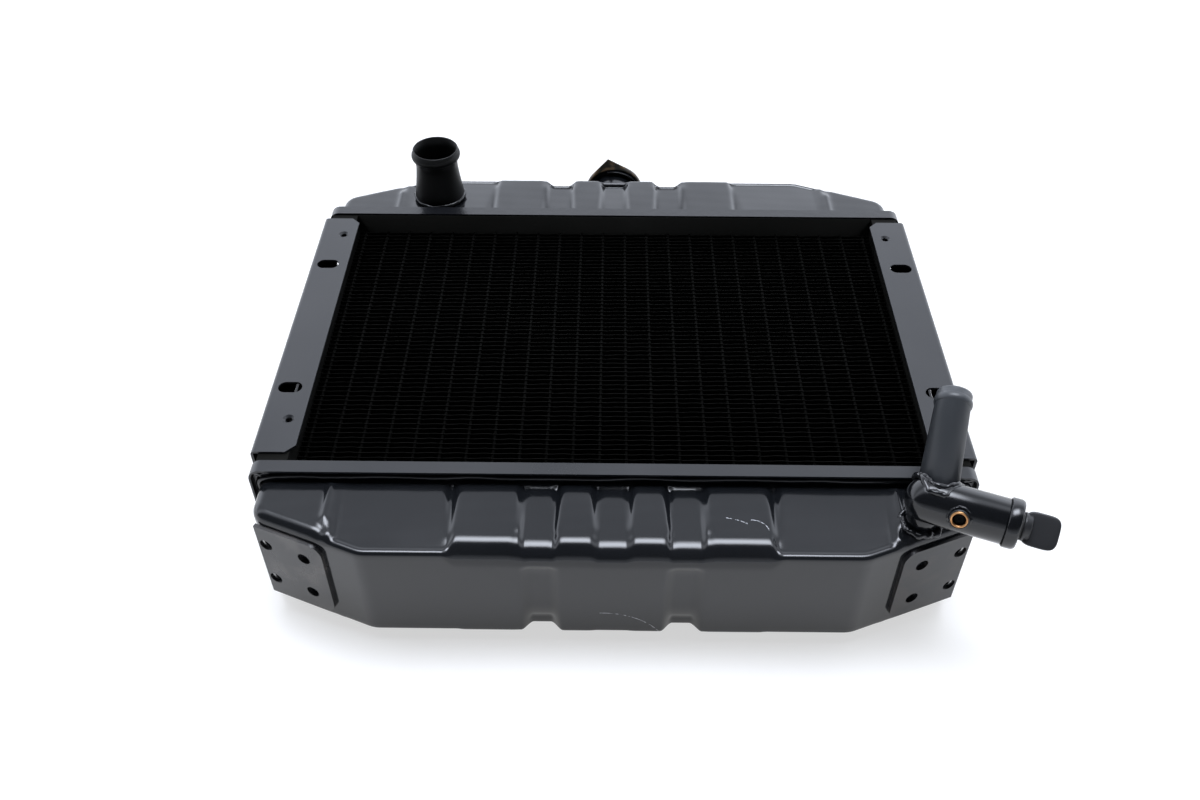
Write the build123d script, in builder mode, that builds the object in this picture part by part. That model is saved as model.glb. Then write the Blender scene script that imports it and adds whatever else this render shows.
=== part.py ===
"""Car radiator with pressed tanks, a tube-and-fin core, side angles, hose necks, drain and cap.

Millimetres. +X runs across the core, +Y from the bottom tank to the top tank, +Z out of the
face that carries the hose necks. The origin is the centre of the four slots in the front
flanges, on the plane of those flanges.
"""

import os
from math import atan2, cos, degrees, radians, sin, tan

from build123d import *

os.makedirs("parts", exist_ok=True)

# Side angles
bracket_span = 540.0  # outer face to outer face
bracket_length = 300.0
angle_flange = 33.0
angle_gauge = 2.0
angle_bend = 3.5
angle_inner_bend = 1.5
front_web = 45.0
rear_web = 65.0
flange_corner = 7.0
frame_depth = 115.0  # front flange plane to back flange plane

# Slots and tapped dimples in the front flanges
slot_length = 19.0
slot_width = 12.0
slot_edge = 15.6  # bracket's outer face to slot centre
slot_spacing = 160.0
tapped_radius = 2.5
tapped_edge = 21.7  # bracket's outer face to hole centre
tapped_from_bottom = 35.0
tapped_from_top = 25.0
dimple_radius = 5.0
dimple_depth = 3.5
dimple_mouth = 4.4
dimple_sink = 1.4

# Core
side_offset = 29.0  # bracket's outer face to the core's edge
side_gauge = 1.5
side_flange_gap = 4.0  # side plate flange edge to the angle's inner web face
core_recess = 18.0
core_side_gap = 0.5
tube_pitch = 20.4
tube_edge = 6.0
row_pitch = 25.0
tube_rows = 3
tube_wide = 18.0
tube_thick = 2.6
tube_wall = 0.5
tube_into_tank = 3.0
braze_gap = 0.1
fin_gauge = 0.5
fin_pitch = 15.0
fin_margin = 6.0

# Header plates
header_gap = 8.4  # bracket end to header plate
header_rim = 11.3
header_gauge = 1.5
header_inset = 2.0
header_corner = 9.0
seam_depth = 6.0
seam_fit = 0.05

# Tanks
tank_reach = 85.0  # bracket end to the tank's end face
tank_step = 10.0  # header rim to tank face
tank_inset = 7.0  # header edge to tank side
tank_wall = 1.5
tank_corner = 12.0
chamfer_wide = 83.0
chamfer_run = 34.0
ridge_radius = 8.0
side_rib_in = 43.0
side_rib_out = 60.0
end_groove_depth = 8.0
face_groove_depth = 3.0
centre_groove_half = 9.0
centre_groove_depth = 5.0
face_groove_run = 42.0
panel_in = 112.0
panel_out = 186.0
panel_depth = 3.0
panel_run = 60.0

# Mount plates on the bottom tank
plate_length = 56.0
plate_height = 76.0
plate_gauge = 3.0
plate_start = 30.0  # from the chamfer's inner edge
plate_corner = 10.0
plate_hole_radius = 5.1
plate_hole_across = 32.5
plate_hole_up = 39.0
plate_hole_offset = 33.0  # plate's inner edge to the pattern's centre
plate_gap = 0.02

# Inlet neck
inlet_x = -169.5
inlet_from_end = 29.6
inlet_height = 52.0
inlet_bore = 17.2
inlet_hose_radius = 19.0
inlet_base_radius = 23.0
inlet_bead_radius = 22.5
inlet_bead_half = 2.5
inlet_bead_drop = 6.5  # neck's mouth to the bead's middle
inlet_taper = 23.4  # height at which the foot's taper ends
inlet_mouth_radius = 21.0
inlet_ring_radius = 25.0
inlet_ring_height = 3.0
inlet_spigot_radius = 19.5
inlet_spigot = 5.0

# Outlet pipe and neck
outlet_x = 219.4
outlet_from_end = 32.0
outlet_rise = 14.0  # pipe axis above the front flange plane
outlet_angle = 21.0
outlet_length = 62.0
outlet_radius = 16.2
outlet_wall = 1.55
foot_radius = 12.0
foot_bore = 10.5
neck_along = 5.0  # pipe's start to the neck's axis
neck_turn = 17.0  # from +Y towards +X
neck_lean = 20.5  # above the front flange plane
neck_length = 86.6
neck_base_radius = 14.2
neck_radius = 12.7
neck_bore = 11.2
neck_bead_radius = 13.8
neck_bead_drop = 8.0  # neck's mouth to the bead's middle
neck_bead_half = 2.0
stub_depth = 6.0
collar_radius = 17.6
collar_length = 9.0
bung_radius = 7.0
bung_bore = 4.5
bung_stand = 2.5
bung_along = 22.5
bung_tilt = 22.0

# Drain plug
drain_seat_length = 8.0
drain_spindle_radius = 6.0
drain_spindle_length = 15.0
drain_head_radius = 10.0
drain_head_length = 6.0
drain_washer_gauge = 1.6
drain_wing_long = 24.0
drain_wing_wide = 24.0
drain_wing_gauge = 5.0
drain_wing_corner = 7.0
drain_wing_gap = 0.4  # washer to the wing's near edge
drain_wing_tilt = 50.0
running_fit = 0.05
fixed_fit = 0.05

# Filler neck
filler_from_front = 43.0
filler_bore = 14.5
filler_tube_radius = 16.0
filler_inside = 3.0
seat_height = 10.0
filler_gauge = 1.5
cup_bore = 21.0
cup_height = 17.0
lip_radius = 27.0
overflow_radius = 4.0
overflow_bore = 3.0
overflow_height = 15.5
overflow_reach = 40.0
overflow_setback = 0.2  # cup's bore to the tube's inner end

# Pressure cap
cap_turn = 60.0
cap_rise = 2.0
cam_depth = 5.0
cam_steps = 4
tab_half_angle = 15.0
tab_gauge = 1.2
tab_gap = 0.3
tab_inner = 23.5
shell_gap = 0.6
shell_gauge = 1.2
shell_headroom = 3.0
skirt_depth = 6.5
ear_reach = 8.0
ear_width = 16.0
ear_corner = 5.0
disc_spring_radius = 25.0
disc_spring_gauge = 0.6
seal_gap = 0.05
rivet_radius = 2.0
rivet_head = 5.0
guide_radius = 6.5
guide_wall = 1.0
guide_clear = 2.5
spring_radius = 11.0
spring_wire = 0.9
spring_turns = 4
valve_radius = 17.0
valve_gauge = 0.8
valve_hub_wall = 1.2
valve_hub_height = 8.5
valve_seal_gauge = 1.15
valve_seal_bore = 12.0
valve_travel = 2.0
vacuum_radius = 7.0
vacuum_gauge = 1.2
vacuum_stem = 1.2
vacuum_head_radius = 2.8
vacuum_head_gauge = 0.7
vacuum_head_gap = 1.5
vacuum_spring_wire = 0.2
vacuum_spring_turns = 2

# Places worked out from the sizes above
half_span = bracket_span / 2
half_length = bracket_length / 2
mid_z = -frame_depth / 2
back_z = -frame_depth
core_half = half_span - side_offset
core_depth = frame_depth - 2 * core_recess
header_y = half_length + header_gap
header_half = half_span - header_inset
tank_y = header_y + header_gauge
tank_half = header_half - tank_inset
tank_end = half_length + tank_reach
tank_front = -tank_step
tank_depth = frame_depth - 2 * tank_step
chamfer_angle = degrees(atan2(chamfer_run, chamfer_wide))
tube_columns = int((2 * core_half - 2 * tube_edge) / tube_pitch) + 1
fin_count = int((2 * header_y - 2 * fin_margin) / fin_pitch) + 1
inlet_y = tank_end - inlet_from_end
outlet_y = -(tank_end - outlet_from_end)
filler_z = -filler_from_front

parts = {}


def keep(name, piece):
    """Labels a finished piece and writes it to its own file."""
    piece.part.label = name
    parts[name] = piece.part
    export_step(piece.part, f"parts/{name}.step")


def turned(plane, profile):
    """A solid of revolution about the plane's z axis, from (radius, height) corners."""
    section = Plane(origin=plane.origin, x_dir=plane.x_dir, z_dir=-plane.y_dir)
    with BuildPart() as blank:
        with BuildSketch(section):
            with BuildLine():
                Polyline(*profile, close=True)
            make_face()
        revolve(axis=Axis(plane.origin, plane.z_dir))
    return blank.part


def washer(plane, outer, inner, low, high):
    """A flat ring on the plane's z axis, between two heights."""
    return turned(plane, [(inner, low), (outer, low), (outer, high), (inner, high)])


def rod(plane, radius, low, high):
    """A round bar on the plane's z axis, between two heights."""
    return turned(plane, [(0, low), (radius, low), (radius, high), (0, high)])


def coil(plane, radius, wire, turns, low, high):
    """A round-wire spring on the plane's z axis, its wire between two heights."""
    rise = high - low - 2 * wire
    with BuildPart() as spring:
        with BuildLine() as route:
            Helix(
                pitch=rise / turns,
                height=rise,
                radius=radius,
                center=plane.from_local_coords(Vector(0, 0, low + wire)),
                direction=plane.z_dir,
            )
        with BuildSketch(Plane(origin=route.line @ 0, z_dir=route.line % 0)):
            Circle(wire)
        sweep(path=route.line, is_frenet=True)
    return spring.part


# Side angles --------------------------------------------------------------------------------


def angle_bar(flange_z, web):
    """A folded angle at +X: its flange at flange_z, its web at the outer edge, web long."""
    turn = 1 if web > 0 else -1
    inner = half_span - angle_flange
    with BuildPart() as bar:
        with BuildSketch(Plane.XZ):
            with BuildLine():
                Polyline(
                    (inner, flange_z),
                    (half_span, flange_z),
                    (half_span, flange_z + web),
                    (half_span - angle_gauge, flange_z + web),
                    (half_span - angle_gauge, flange_z + turn * angle_gauge),
                    (inner, flange_z + turn * angle_gauge),
                    close=True,
                )
            make_face()
            corners = vertices()
            outer_bend = corners.sort_by_distance((half_span, flange_z, 0))[0]
            inner_bend = corners.sort_by_distance(
                (half_span - angle_gauge, flange_z + turn * angle_gauge, 0)
            )[0]
            fillet(outer_bend, angle_bend)
            fillet(inner_bend, angle_inner_bend)
        extrude(amount=half_length, both=True)
        free_corners = (
            edges()
            .filter_by(Axis.Z)
            .filter_by(lambda edge: abs(edge.center().X - inner) < angle_gauge)
        )
        chamfer(free_corners, flange_corner)
    return bar.part


with BuildPart() as front_angle_right:
    add(angle_bar(0, -front_web))
    tapped_x = half_span - tapped_edge
    tapped_places = [
        (tapped_x, -half_length + tapped_from_bottom, -angle_gauge),
        (tapped_x, half_length - tapped_from_top, -angle_gauge),
    ]
    with Locations(*tapped_places):
        Cylinder(dimple_radius, dimple_depth, align=(Align.CENTER, Align.CENTER, Align.MAX))
        Cylinder(tapped_radius, 2 * frame_depth, mode=Mode.SUBTRACT)
    with Locations(*[(x, y, 0) for x, y, _ in tapped_places]):
        Cone(
            tapped_radius,
            dimple_mouth,
            dimple_sink,
            align=(Align.CENTER, Align.CENTER, Align.MAX),
            mode=Mode.SUBTRACT,
        )
    with BuildSketch(Plane.XY):
        with Locations((half_span - slot_edge, 0)):
            with GridLocations(0, slot_spacing, 1, 2):
                SlotOverall(slot_length, slot_width)
    extrude(amount=-2 * angle_gauge, mode=Mode.SUBTRACT)
keep("front_angle_right", front_angle_right)

with BuildPart() as front_angle_left:
    mirror(front_angle_right.part, about=Plane.YZ)
keep("front_angle_left", front_angle_left)

with BuildPart() as rear_angle_right:
    add(angle_bar(back_z, rear_web))
keep("rear_angle_right", rear_angle_right)

with BuildPart() as rear_angle_left:
    mirror(rear_angle_right.part, about=Plane.YZ)
keep("rear_angle_left", rear_angle_left)

# Side plates: a web beside the core with flanges turned out under the angles
with BuildPart() as side_plate_right:
    plate_front = -angle_gauge
    plate_back = back_z + angle_gauge
    flange_out = half_span - angle_gauge - side_flange_gap
    with BuildSketch(Plane.XZ):
        with BuildLine():
            Polyline(
                (core_half, plate_front),
                (flange_out, plate_front),
                (flange_out, plate_front - side_gauge),
                (core_half + side_gauge, plate_front - side_gauge),
                (core_half + side_gauge, plate_back + side_gauge),
                (flange_out, plate_back + side_gauge),
                (flange_out, plate_back),
                (core_half, plate_back),
                close=True,
            )
        make_face()
    extrude(amount=header_y, both=True)
    slot_relief = slot_width / 2 + side_gauge
    dimple_relief = dimple_radius + side_gauge
    with Locations(*[(half_span - slot_edge, y) for y in (-slot_spacing / 2, slot_spacing / 2)]):
        Box(
            slot_length + 2 * side_gauge,
            2 * slot_relief,
            2 * (angle_gauge + side_gauge),
            mode=Mode.SUBTRACT,
        )
    with Locations(*tapped_places):
        Cylinder(dimple_relief, 3 * side_gauge, mode=Mode.SUBTRACT)
keep("side_plate_right", side_plate_right)

with BuildPart() as side_plate_left:
    mirror(side_plate_right.part, about=Plane.YZ)
keep("side_plate_left", side_plate_left)

# Core ---------------------------------------------------------------------------------------

core_plane = Plane(origin=(0, 0, mid_z), x_dir=(1, 0, 0), z_dir=(0, -1, 0))

with BuildPart() as core_tubes:
    with BuildSketch(core_plane):
        with GridLocations(tube_pitch, row_pitch, tube_columns, tube_rows):
            SlotOverall(tube_wide, tube_thick, rotation=90)
            SlotOverall(
                tube_wide - 2 * tube_wall,
                tube_thick - 2 * tube_wall,
                rotation=90,
                mode=Mode.SUBTRACT,
            )
    extrude(amount=header_y + tube_into_tank, both=True)
keep("core_tubes", core_tubes)

with BuildPart(mode=Mode.PRIVATE) as one_fin:
    with BuildSketch(core_plane):
        Rectangle(2 * (core_half - core_side_gap), core_depth)
        with GridLocations(tube_pitch, row_pitch, tube_columns, tube_rows):
            SlotOverall(
                tube_wide + 2 * braze_gap,
                tube_thick + 2 * braze_gap,
                rotation=90,
                mode=Mode.SUBTRACT,
            )
    extrude(amount=fin_gauge / 2, both=True)

with BuildPart() as core_fins:
    first_fin = -(fin_count - 1) * fin_pitch / 2
    with Locations(*[(0, first_fin + number * fin_pitch, 0) for number in range(fin_count)]):
        add(one_fin.part)
keep("core_fins", core_fins)

# Header plates ------------------------------------------------------------------------------

with BuildPart() as top_header_plate:
    header_plane = Plane(origin=(0, header_y, mid_z), x_dir=(1, 0, 0), z_dir=(0, 1, 0))
    with BuildSketch(header_plane):
        RectangleRounded(2 * header_half, frame_depth, header_corner)
    extrude(amount=header_rim)
    with BuildSketch(header_plane.offset(header_gauge)):
        RectangleRounded(
            2 * (header_half - header_gauge),
            frame_depth - 2 * header_gauge,
            header_corner - header_gauge,
        )
    extrude(amount=header_rim, mode=Mode.SUBTRACT)
    with BuildSketch(header_plane):
        with GridLocations(tube_pitch, row_pitch, tube_columns, tube_rows):
            SlotOverall(
                tube_wide + 2 * braze_gap,
                tube_thick + 2 * braze_gap,
                rotation=90,
            )
    extrude(amount=header_gauge, mode=Mode.SUBTRACT)
keep("top_header_plate", top_header_plate)

with BuildPart() as bottom_header_plate:
    mirror(top_header_plate.part, about=Plane.XZ)
keep("bottom_header_plate", bottom_header_plate)

# Solder that fills the trough between header rim and tank wall
with BuildPart() as top_seam:
    with BuildSketch(header_plane.offset(header_gauge)):
        RectangleRounded(
            2 * (header_half - header_gauge - seam_fit),
            frame_depth - 2 * (header_gauge + seam_fit),
            header_corner - header_gauge,
        )
        RectangleRounded(
            2 * (tank_half + seam_fit),
            tank_depth + 2 * seam_fit,
            ridge_radius + seam_fit,
            mode=Mode.SUBTRACT,
        )
    extrude(amount=seam_depth)
keep("top_seam", top_seam)

with BuildPart() as bottom_seam:
    mirror(top_seam.part, about=Plane.XZ)
keep("bottom_seam", bottom_seam)

# Tanks --------------------------------------------------------------------------------------


def pressing(inset):
    """The tank's outer form at +Y with every face set in by inset, closed behind its mouth."""
    mouth = tank_y - 2 * ridge_radius
    with BuildPart() as form:
        with BuildSketch(Plane.XY.offset(tank_front - inset)):
            with BuildLine():
                Polyline(
                    (-tank_half, mouth),
                    (-tank_half, tank_end - chamfer_run),
                    (-tank_half + chamfer_wide, tank_end),
                    (tank_half - chamfer_wide, tank_end),
                    (tank_half, tank_end - chamfer_run),
                    (tank_half, mouth),
                    close=True,
                )
            make_face()
            fillet(vertices().filter_by(lambda vertex: vertex.Y > tank_y), tank_corner)
            if inset > 0:
                offset(amount=-inset)
        extrude(amount=-(tank_depth - 2 * inset))
        rims = edges().group_by(Axis.Z)
        ridges = (rims[0] + rims[-1]).filter_by(lambda edge: edge.center().Y > tank_y - tank_wall)
        fillet(ridges, ridge_radius - inset)
        groove_x = (side_rib_in + side_rib_out) / 2
        groove_width = side_rib_out - side_rib_in + 2 * inset
        with Locations((-groove_x, tank_end, mid_z), (groove_x, tank_end, mid_z)):
            Box(
                groove_width,
                2 * (end_groove_depth + inset),
                2 * frame_depth,
                mode=Mode.SUBTRACT,
            )
        for centre, half_wide, depth, run in (
            (groove_x, (side_rib_out - side_rib_in) / 2, face_groove_depth, face_groove_run),
            (-groove_x, (side_rib_out - side_rib_in) / 2, face_groove_depth, face_groove_run),
            (0, centre_groove_half, centre_groove_depth, face_groove_run),
            ((panel_in + panel_out) / 2, (panel_out - panel_in) / 2, panel_depth, panel_run),
            (-(panel_in + panel_out) / 2, (panel_out - panel_in) / 2, panel_depth, panel_run),
        ):
            for face_z in (tank_front, tank_front - tank_depth):
                with Locations((centre, tank_end, face_z)):
                    Box(
                        2 * (half_wide + inset),
                        2 * (run + inset),
                        2 * (depth + inset),
                        mode=Mode.SUBTRACT,
                    )
    return form.part


with BuildPart(mode=Mode.PRIVATE) as tank_shell:
    add(pressing(0))
    add(pressing(tank_wall), mode=Mode.SUBTRACT)
    split(bisect_by=Plane(origin=(0, tank_y, 0), z_dir=(0, 1, 0)), keep=Keep.TOP)

filler_plane = Plane(origin=(0, tank_end, filler_z), x_dir=(1, 0, 0), z_dir=(0, 1, 0))
inlet_plane = Plane(origin=(inlet_x, inlet_y, tank_front), x_dir=(1, 0, 0), z_dir=(0, 0, 1))

with BuildPart() as top_tank:
    add(tank_shell.part)
    add(
        rod(inlet_plane, inlet_spigot_radius + fixed_fit, -2 * inlet_spigot, inlet_spigot),
        mode=Mode.SUBTRACT,
    )
    add(
        rod(filler_plane, filler_tube_radius + fixed_fit, -2 * filler_inside, filler_inside),
        mode=Mode.SUBTRACT,
    )
keep("top_tank", top_tank)

outlet_foot = Plane(origin=(outlet_x, outlet_y, tank_front), x_dir=(1, 0, 0), z_dir=(0, 0, 1))

with BuildPart() as bottom_tank:
    mirror(tank_shell.part, about=Plane.XZ)
    add(
        rod(outlet_foot, foot_radius + fixed_fit, -3 * stub_depth, stub_depth),
        mode=Mode.SUBTRACT,
    )
keep("bottom_tank", bottom_tank)

# Mount plates on the bottom tank's chamfered ends
chamfer_turn = radians(chamfer_angle)
chamfer_plane = Plane(
    origin=(tank_half - chamfer_wide, -tank_end, mid_z),
    x_dir=(cos(chamfer_turn), sin(chamfer_turn), 0),
    z_dir=(sin(chamfer_turn), -cos(chamfer_turn), 0),
)

with BuildPart() as mount_plate_right:
    with BuildSketch(chamfer_plane.offset(plate_gap)):
        with Locations((plate_start + plate_length / 2, 0)):
            Rectangle(plate_length, plate_height)
        inner_corners = vertices().sort_by(Axis.X)[:2]
        fillet(inner_corners, plate_corner)
        with Locations((plate_start + plate_hole_offset, 0)):
            with GridLocations(plate_hole_across, plate_hole_up, 2, 2):
                Circle(plate_hole_radius, mode=Mode.SUBTRACT)
    extrude(amount=plate_gauge)
keep("mount_plate_right", mount_plate_right)

with BuildPart() as mount_plate_left:
    mirror(mount_plate_right.part, about=Plane.YZ)
keep("mount_plate_left", mount_plate_left)

# Inlet neck ---------------------------------------------------------------------------------

with BuildPart() as inlet_neck:
    inlet_bead = inlet_height - inlet_bead_drop
    add(
        turned(
            inlet_plane,
            [
                (inlet_bore, -inlet_spigot),
                (inlet_spigot_radius, -inlet_spigot),
                (inlet_spigot_radius, 0),
                (inlet_base_radius, 0),
                (inlet_base_radius, inlet_ring_height),
                (inlet_hose_radius, inlet_taper),
                (inlet_hose_radius, inlet_bead - inlet_bead_half),
                (inlet_bead_radius, inlet_bead),
                (inlet_mouth_radius, inlet_height),
                (inlet_bore, inlet_height),
            ],
        )
    )
keep("inlet_neck", inlet_neck)

with BuildPart() as inlet_ring:
    add(
        washer(
            inlet_plane,
            inlet_ring_radius,
            inlet_base_radius + fixed_fit,
            0,
            inlet_ring_height,
        )
    )
keep("inlet_ring", inlet_ring)

# Outlet pipe, neck, collar and bung ---------------------------------------------------------

outlet_turn = radians(outlet_angle)
pipe_plane = Plane(
    origin=(outlet_x, outlet_y, outlet_rise),
    x_dir=(0, 0, 1),
    z_dir=(cos(outlet_turn), -sin(outlet_turn), 0),
)
rise_plane = Plane(origin=(outlet_x, outlet_y, outlet_rise), x_dir=(1, 0, 0), z_dir=(0, 0, 1))
bung_lean = radians(bung_tilt)
bung_out = pipe_plane.x_dir * sin(bung_lean) + pipe_plane.y_dir * cos(bung_lean)
bung_plane = Plane(
    origin=pipe_plane.origin + pipe_plane.z_dir * bung_along,
    x_dir=pipe_plane.z_dir,
    z_dir=bung_out,
)
neck_slope = radians(neck_lean)
neck_heading = radians(neck_turn)
neck_out = Vector(
    sin(neck_heading) * cos(neck_slope), cos(neck_heading) * cos(neck_slope), sin(neck_slope)
)
neck_plane = Plane(
    origin=pipe_plane.origin + pipe_plane.z_dir * neck_along,
    x_dir=(cos(neck_heading), -sin(neck_heading), 0),
    z_dir=neck_out,
)
foot_drop = outlet_rise - tank_front + stub_depth
pipe_bore = outlet_radius - outlet_wall

with BuildPart() as outlet_pipe:
    add(rod(pipe_plane, outlet_radius, 0, outlet_length))
    add(rod(rise_plane, foot_radius, -foot_drop, 0))
    with Locations(rise_plane):
        Sphere(outlet_radius)
        Sphere(pipe_bore, mode=Mode.SUBTRACT)
    add(rod(pipe_plane, pipe_bore, 0, 2 * outlet_length), mode=Mode.SUBTRACT)
    add(rod(rise_plane, foot_bore, -2 * foot_drop, 0), mode=Mode.SUBTRACT)
    add(rod(neck_plane, neck_bore, 0, 2 * outlet_radius), mode=Mode.SUBTRACT)
    add(rod(bung_plane, bung_radius + fixed_fit, 0, 2 * outlet_radius), mode=Mode.SUBTRACT)
keep("outlet_pipe", outlet_pipe)

with BuildPart() as outlet_neck:
    neck_bead = neck_length - neck_bead_drop
    add(
        turned(
            neck_plane,
            [
                (neck_bore, 0),
                (neck_base_radius, 0),
                (neck_radius, neck_bead - neck_bead_half),
                (neck_bead_radius, neck_bead),
                (neck_radius, neck_bead + neck_bead_half),
                (neck_radius, neck_length),
                (neck_bore, neck_length),
            ],
        )
    )
    add(
        rod(pipe_plane, outlet_radius + fixed_fit, -outlet_radius, outlet_length),
        mode=Mode.SUBTRACT,
    )
keep("outlet_neck", outlet_neck)

with BuildPart() as outlet_collar:
    add(
        washer(
            pipe_plane,
            collar_radius,
            outlet_radius + fixed_fit,
            outlet_length - collar_length,
            outlet_length,
        )
    )
keep("outlet_collar", outlet_collar)

with BuildPart() as sensor_bung:
    add(washer(bung_plane, bung_radius, bung_bore, pipe_bore, outlet_radius + bung_stand))
keep("sensor_bung", sensor_bung)

# Drain: seat in the pipe's end, and the plug with its seal and wing --------------------------

with BuildPart() as drain_seat:
    add(
        washer(
            pipe_plane,
            pipe_bore - fixed_fit,
            drain_spindle_radius + running_fit,
            outlet_length - drain_seat_length,
            outlet_length,
        )
    )
keep("drain_seat", drain_seat)

washer_top = outlet_length + drain_washer_gauge
with BuildPart() as drain_washer:
    add(
        washer(
            pipe_plane,
            drain_head_radius,
            drain_spindle_radius + running_fit,
            outlet_length + seal_gap,
            washer_top - seal_gap,
        )
    )
keep("drain_washer", drain_washer)

wing_lean = radians(drain_wing_tilt)
wing_face = pipe_plane.x_dir * sin(wing_lean) + pipe_plane.y_dir * cos(wing_lean)
with BuildPart() as drain_plug:
    head_top = washer_top + drain_head_length
    add(rod(pipe_plane, drain_spindle_radius, washer_top - drain_spindle_length, head_top))
    add(rod(pipe_plane, drain_head_radius, washer_top, head_top))
    wing_plane = Plane(
        origin=pipe_plane.origin + pipe_plane.z_dir * (washer_top + drain_wing_gap),
        x_dir=pipe_plane.z_dir,
        z_dir=wing_face,
    )
    with BuildSketch(wing_plane):
        with Locations((drain_wing_long / 2, 0)):
            RectangleRounded(drain_wing_long, drain_wing_wide, drain_wing_corner)
    extrude(amount=drain_wing_gauge / 2, both=True)
keep("drain_plug", drain_plug)

# Filler neck and overflow spout -------------------------------------------------------------

seat_top = seat_height + filler_gauge
lip_low = seat_height + cup_height
lip_top = lip_low + filler_gauge
cup_radius = cup_bore + filler_gauge
overflow_plane = Plane(
    origin=filler_plane.from_local_coords(Vector(0, 0, overflow_height)),
    x_dir=(0, 1, 0),
    z_dir=(-1, 0, 0),
)

with BuildPart() as filler_neck:
    add(
        turned(
            filler_plane,
            [
                (filler_bore, -filler_inside),
                (filler_tube_radius, -filler_inside),
                (filler_tube_radius, seat_height),
                (cup_radius, seat_height),
                (cup_radius, lip_low),
                (lip_radius, lip_low),
                (lip_radius, lip_top),
                (cup_bore, lip_top),
                (cup_bore, seat_top),
                (filler_bore, seat_top),
            ],
        )
    )
    # The cam under the lip: a deep plain stretch, then steps that shallow towards a gap
    step_angle = cap_turn / cam_steps
    stretches = [(-180 + cap_turn + tab_half_angle, -tab_half_angle, cam_depth)]
    for step in range(cam_steps):
        low_angle = -tab_half_angle + step * step_angle
        depth = cam_depth - cap_rise * (step + 1) / cam_steps
        stretches.append((low_angle, low_angle + step_angle, depth))
    for low_angle, high_angle, depth in stretches:
        for side in (0, 180):
            with BuildSketch(filler_plane.offset(lip_low)):
                with BuildLine():
                    CenterArc((0, 0), lip_radius, low_angle + side, high_angle - low_angle)
                    CenterArc(
                        (0, 0),
                        lip_radius - filler_gauge,
                        low_angle + side,
                        high_angle - low_angle,
                    )
                    for edge_angle in (low_angle + side, high_angle + side):
                        PolarLine(
                            Vector(lip_radius - filler_gauge, 0).rotate(Axis.Z, edge_angle),
                            filler_gauge,
                            edge_angle,
                        )
                make_face()
            extrude(amount=-depth)
    add(
        rod(
            overflow_plane, overflow_radius + fixed_fit, cup_bore - filler_gauge, overflow_reach
        ),
        mode=Mode.SUBTRACT,
    )
keep("filler_neck", filler_neck)

with BuildPart() as overflow_tube:
    add(
        washer(
            overflow_plane,
            overflow_radius,
            overflow_bore,
            cup_bore + overflow_setback,
            overflow_reach,
        )
    )
keep("overflow_tube", overflow_tube)

# Pressure cap -------------------------------------------------------------------------------

shell_low = lip_top + shell_headroom
shell_top = shell_low + shell_gauge
skirt_bore = lip_radius + shell_gap
shell_radius = skirt_bore + shell_gauge
tab_top = lip_low - cam_depth - tab_gap
tab_low = tab_top - tab_gauge

with BuildPart() as cap_shell:
    add(
        turned(
            filler_plane,
            [
                (rivet_radius + running_fit, shell_low),
                (skirt_bore, shell_low),
                (skirt_bore, shell_top - skirt_depth),
                (shell_radius, shell_top - skirt_depth),
                (shell_radius, shell_top),
                (rivet_radius + running_fit, shell_top),
            ],
        )
    )
    # Two ears to grip, on the Z axis
    with BuildSketch(filler_plane.offset(shell_low)):
        RectangleRounded(ear_width, 2 * (shell_radius + ear_reach), ear_corner)
        Circle(skirt_bore, mode=Mode.SUBTRACT)
    extrude(amount=shell_gauge)
    # Two tabs that reach down past the cam and turn in under it, on the X axis
    tab_wedge = 2 * shell_radius
    wedge_rise = tab_wedge * tan(radians(tab_half_angle))
    for side in (1, -1):
        for outer, inner, low, high in (
            (shell_radius, skirt_bore, tab_low, shell_top - skirt_depth),
            (shell_radius, tab_inner, tab_low, tab_top),
        ):
            with BuildSketch(filler_plane.offset(low)):
                Circle(outer)
                Circle(inner, mode=Mode.SUBTRACT)
                with BuildLine():
                    Polyline(
                        (0, 0),
                        (side * tab_wedge, wedge_rise),
                        (side * tab_wedge, -wedge_rise),
                        close=True,
                    )
                make_face(mode=Mode.INTERSECT)
            extrude(amount=high - low)
keep("cap_shell", cap_shell)

disc_low = lip_top + seal_gap
disc_top = disc_low + disc_spring_gauge
guide_top = disc_low
guide_low = seat_top + valve_seal_gauge + valve_gauge + valve_travel + guide_clear - 2 * seal_gap

with BuildPart() as cap_disc_spring:
    add(
        washer(filler_plane, disc_spring_radius, rivet_radius + fixed_fit, disc_low, disc_top)
    )
keep("cap_disc_spring", cap_disc_spring)

with BuildPart() as cap_guide:
    add(
        turned(
            filler_plane,
            [
                (rivet_radius + fixed_fit, guide_top - guide_wall),
                (guide_radius - guide_wall, guide_top - guide_wall),
                (guide_radius - guide_wall, guide_low),
                (guide_radius, guide_low),
                (guide_radius, guide_top),
                (rivet_radius + fixed_fit, guide_top),
            ],
        )
    )
keep("cap_guide", cap_guide)

with BuildPart() as cap_rivet:
    rivet_foot = guide_top - guide_wall - seal_gap
    add(rod(filler_plane, rivet_radius, rivet_foot, shell_top + running_fit))
    add(rod(filler_plane, rivet_head, shell_top + running_fit, shell_top + shell_gauge))
    add(rod(filler_plane, rivet_radius + guide_wall, rivet_foot - guide_wall, rivet_foot))
keep("cap_rivet", cap_rivet)

seal_low = seat_top + seal_gap
seal_top = seal_low + valve_seal_gauge
plate_low = seal_top + seal_gap
plate_top = plate_low + valve_gauge
hub_bore = guide_radius + running_fit
stem_hole = vacuum_stem + running_fit

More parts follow.
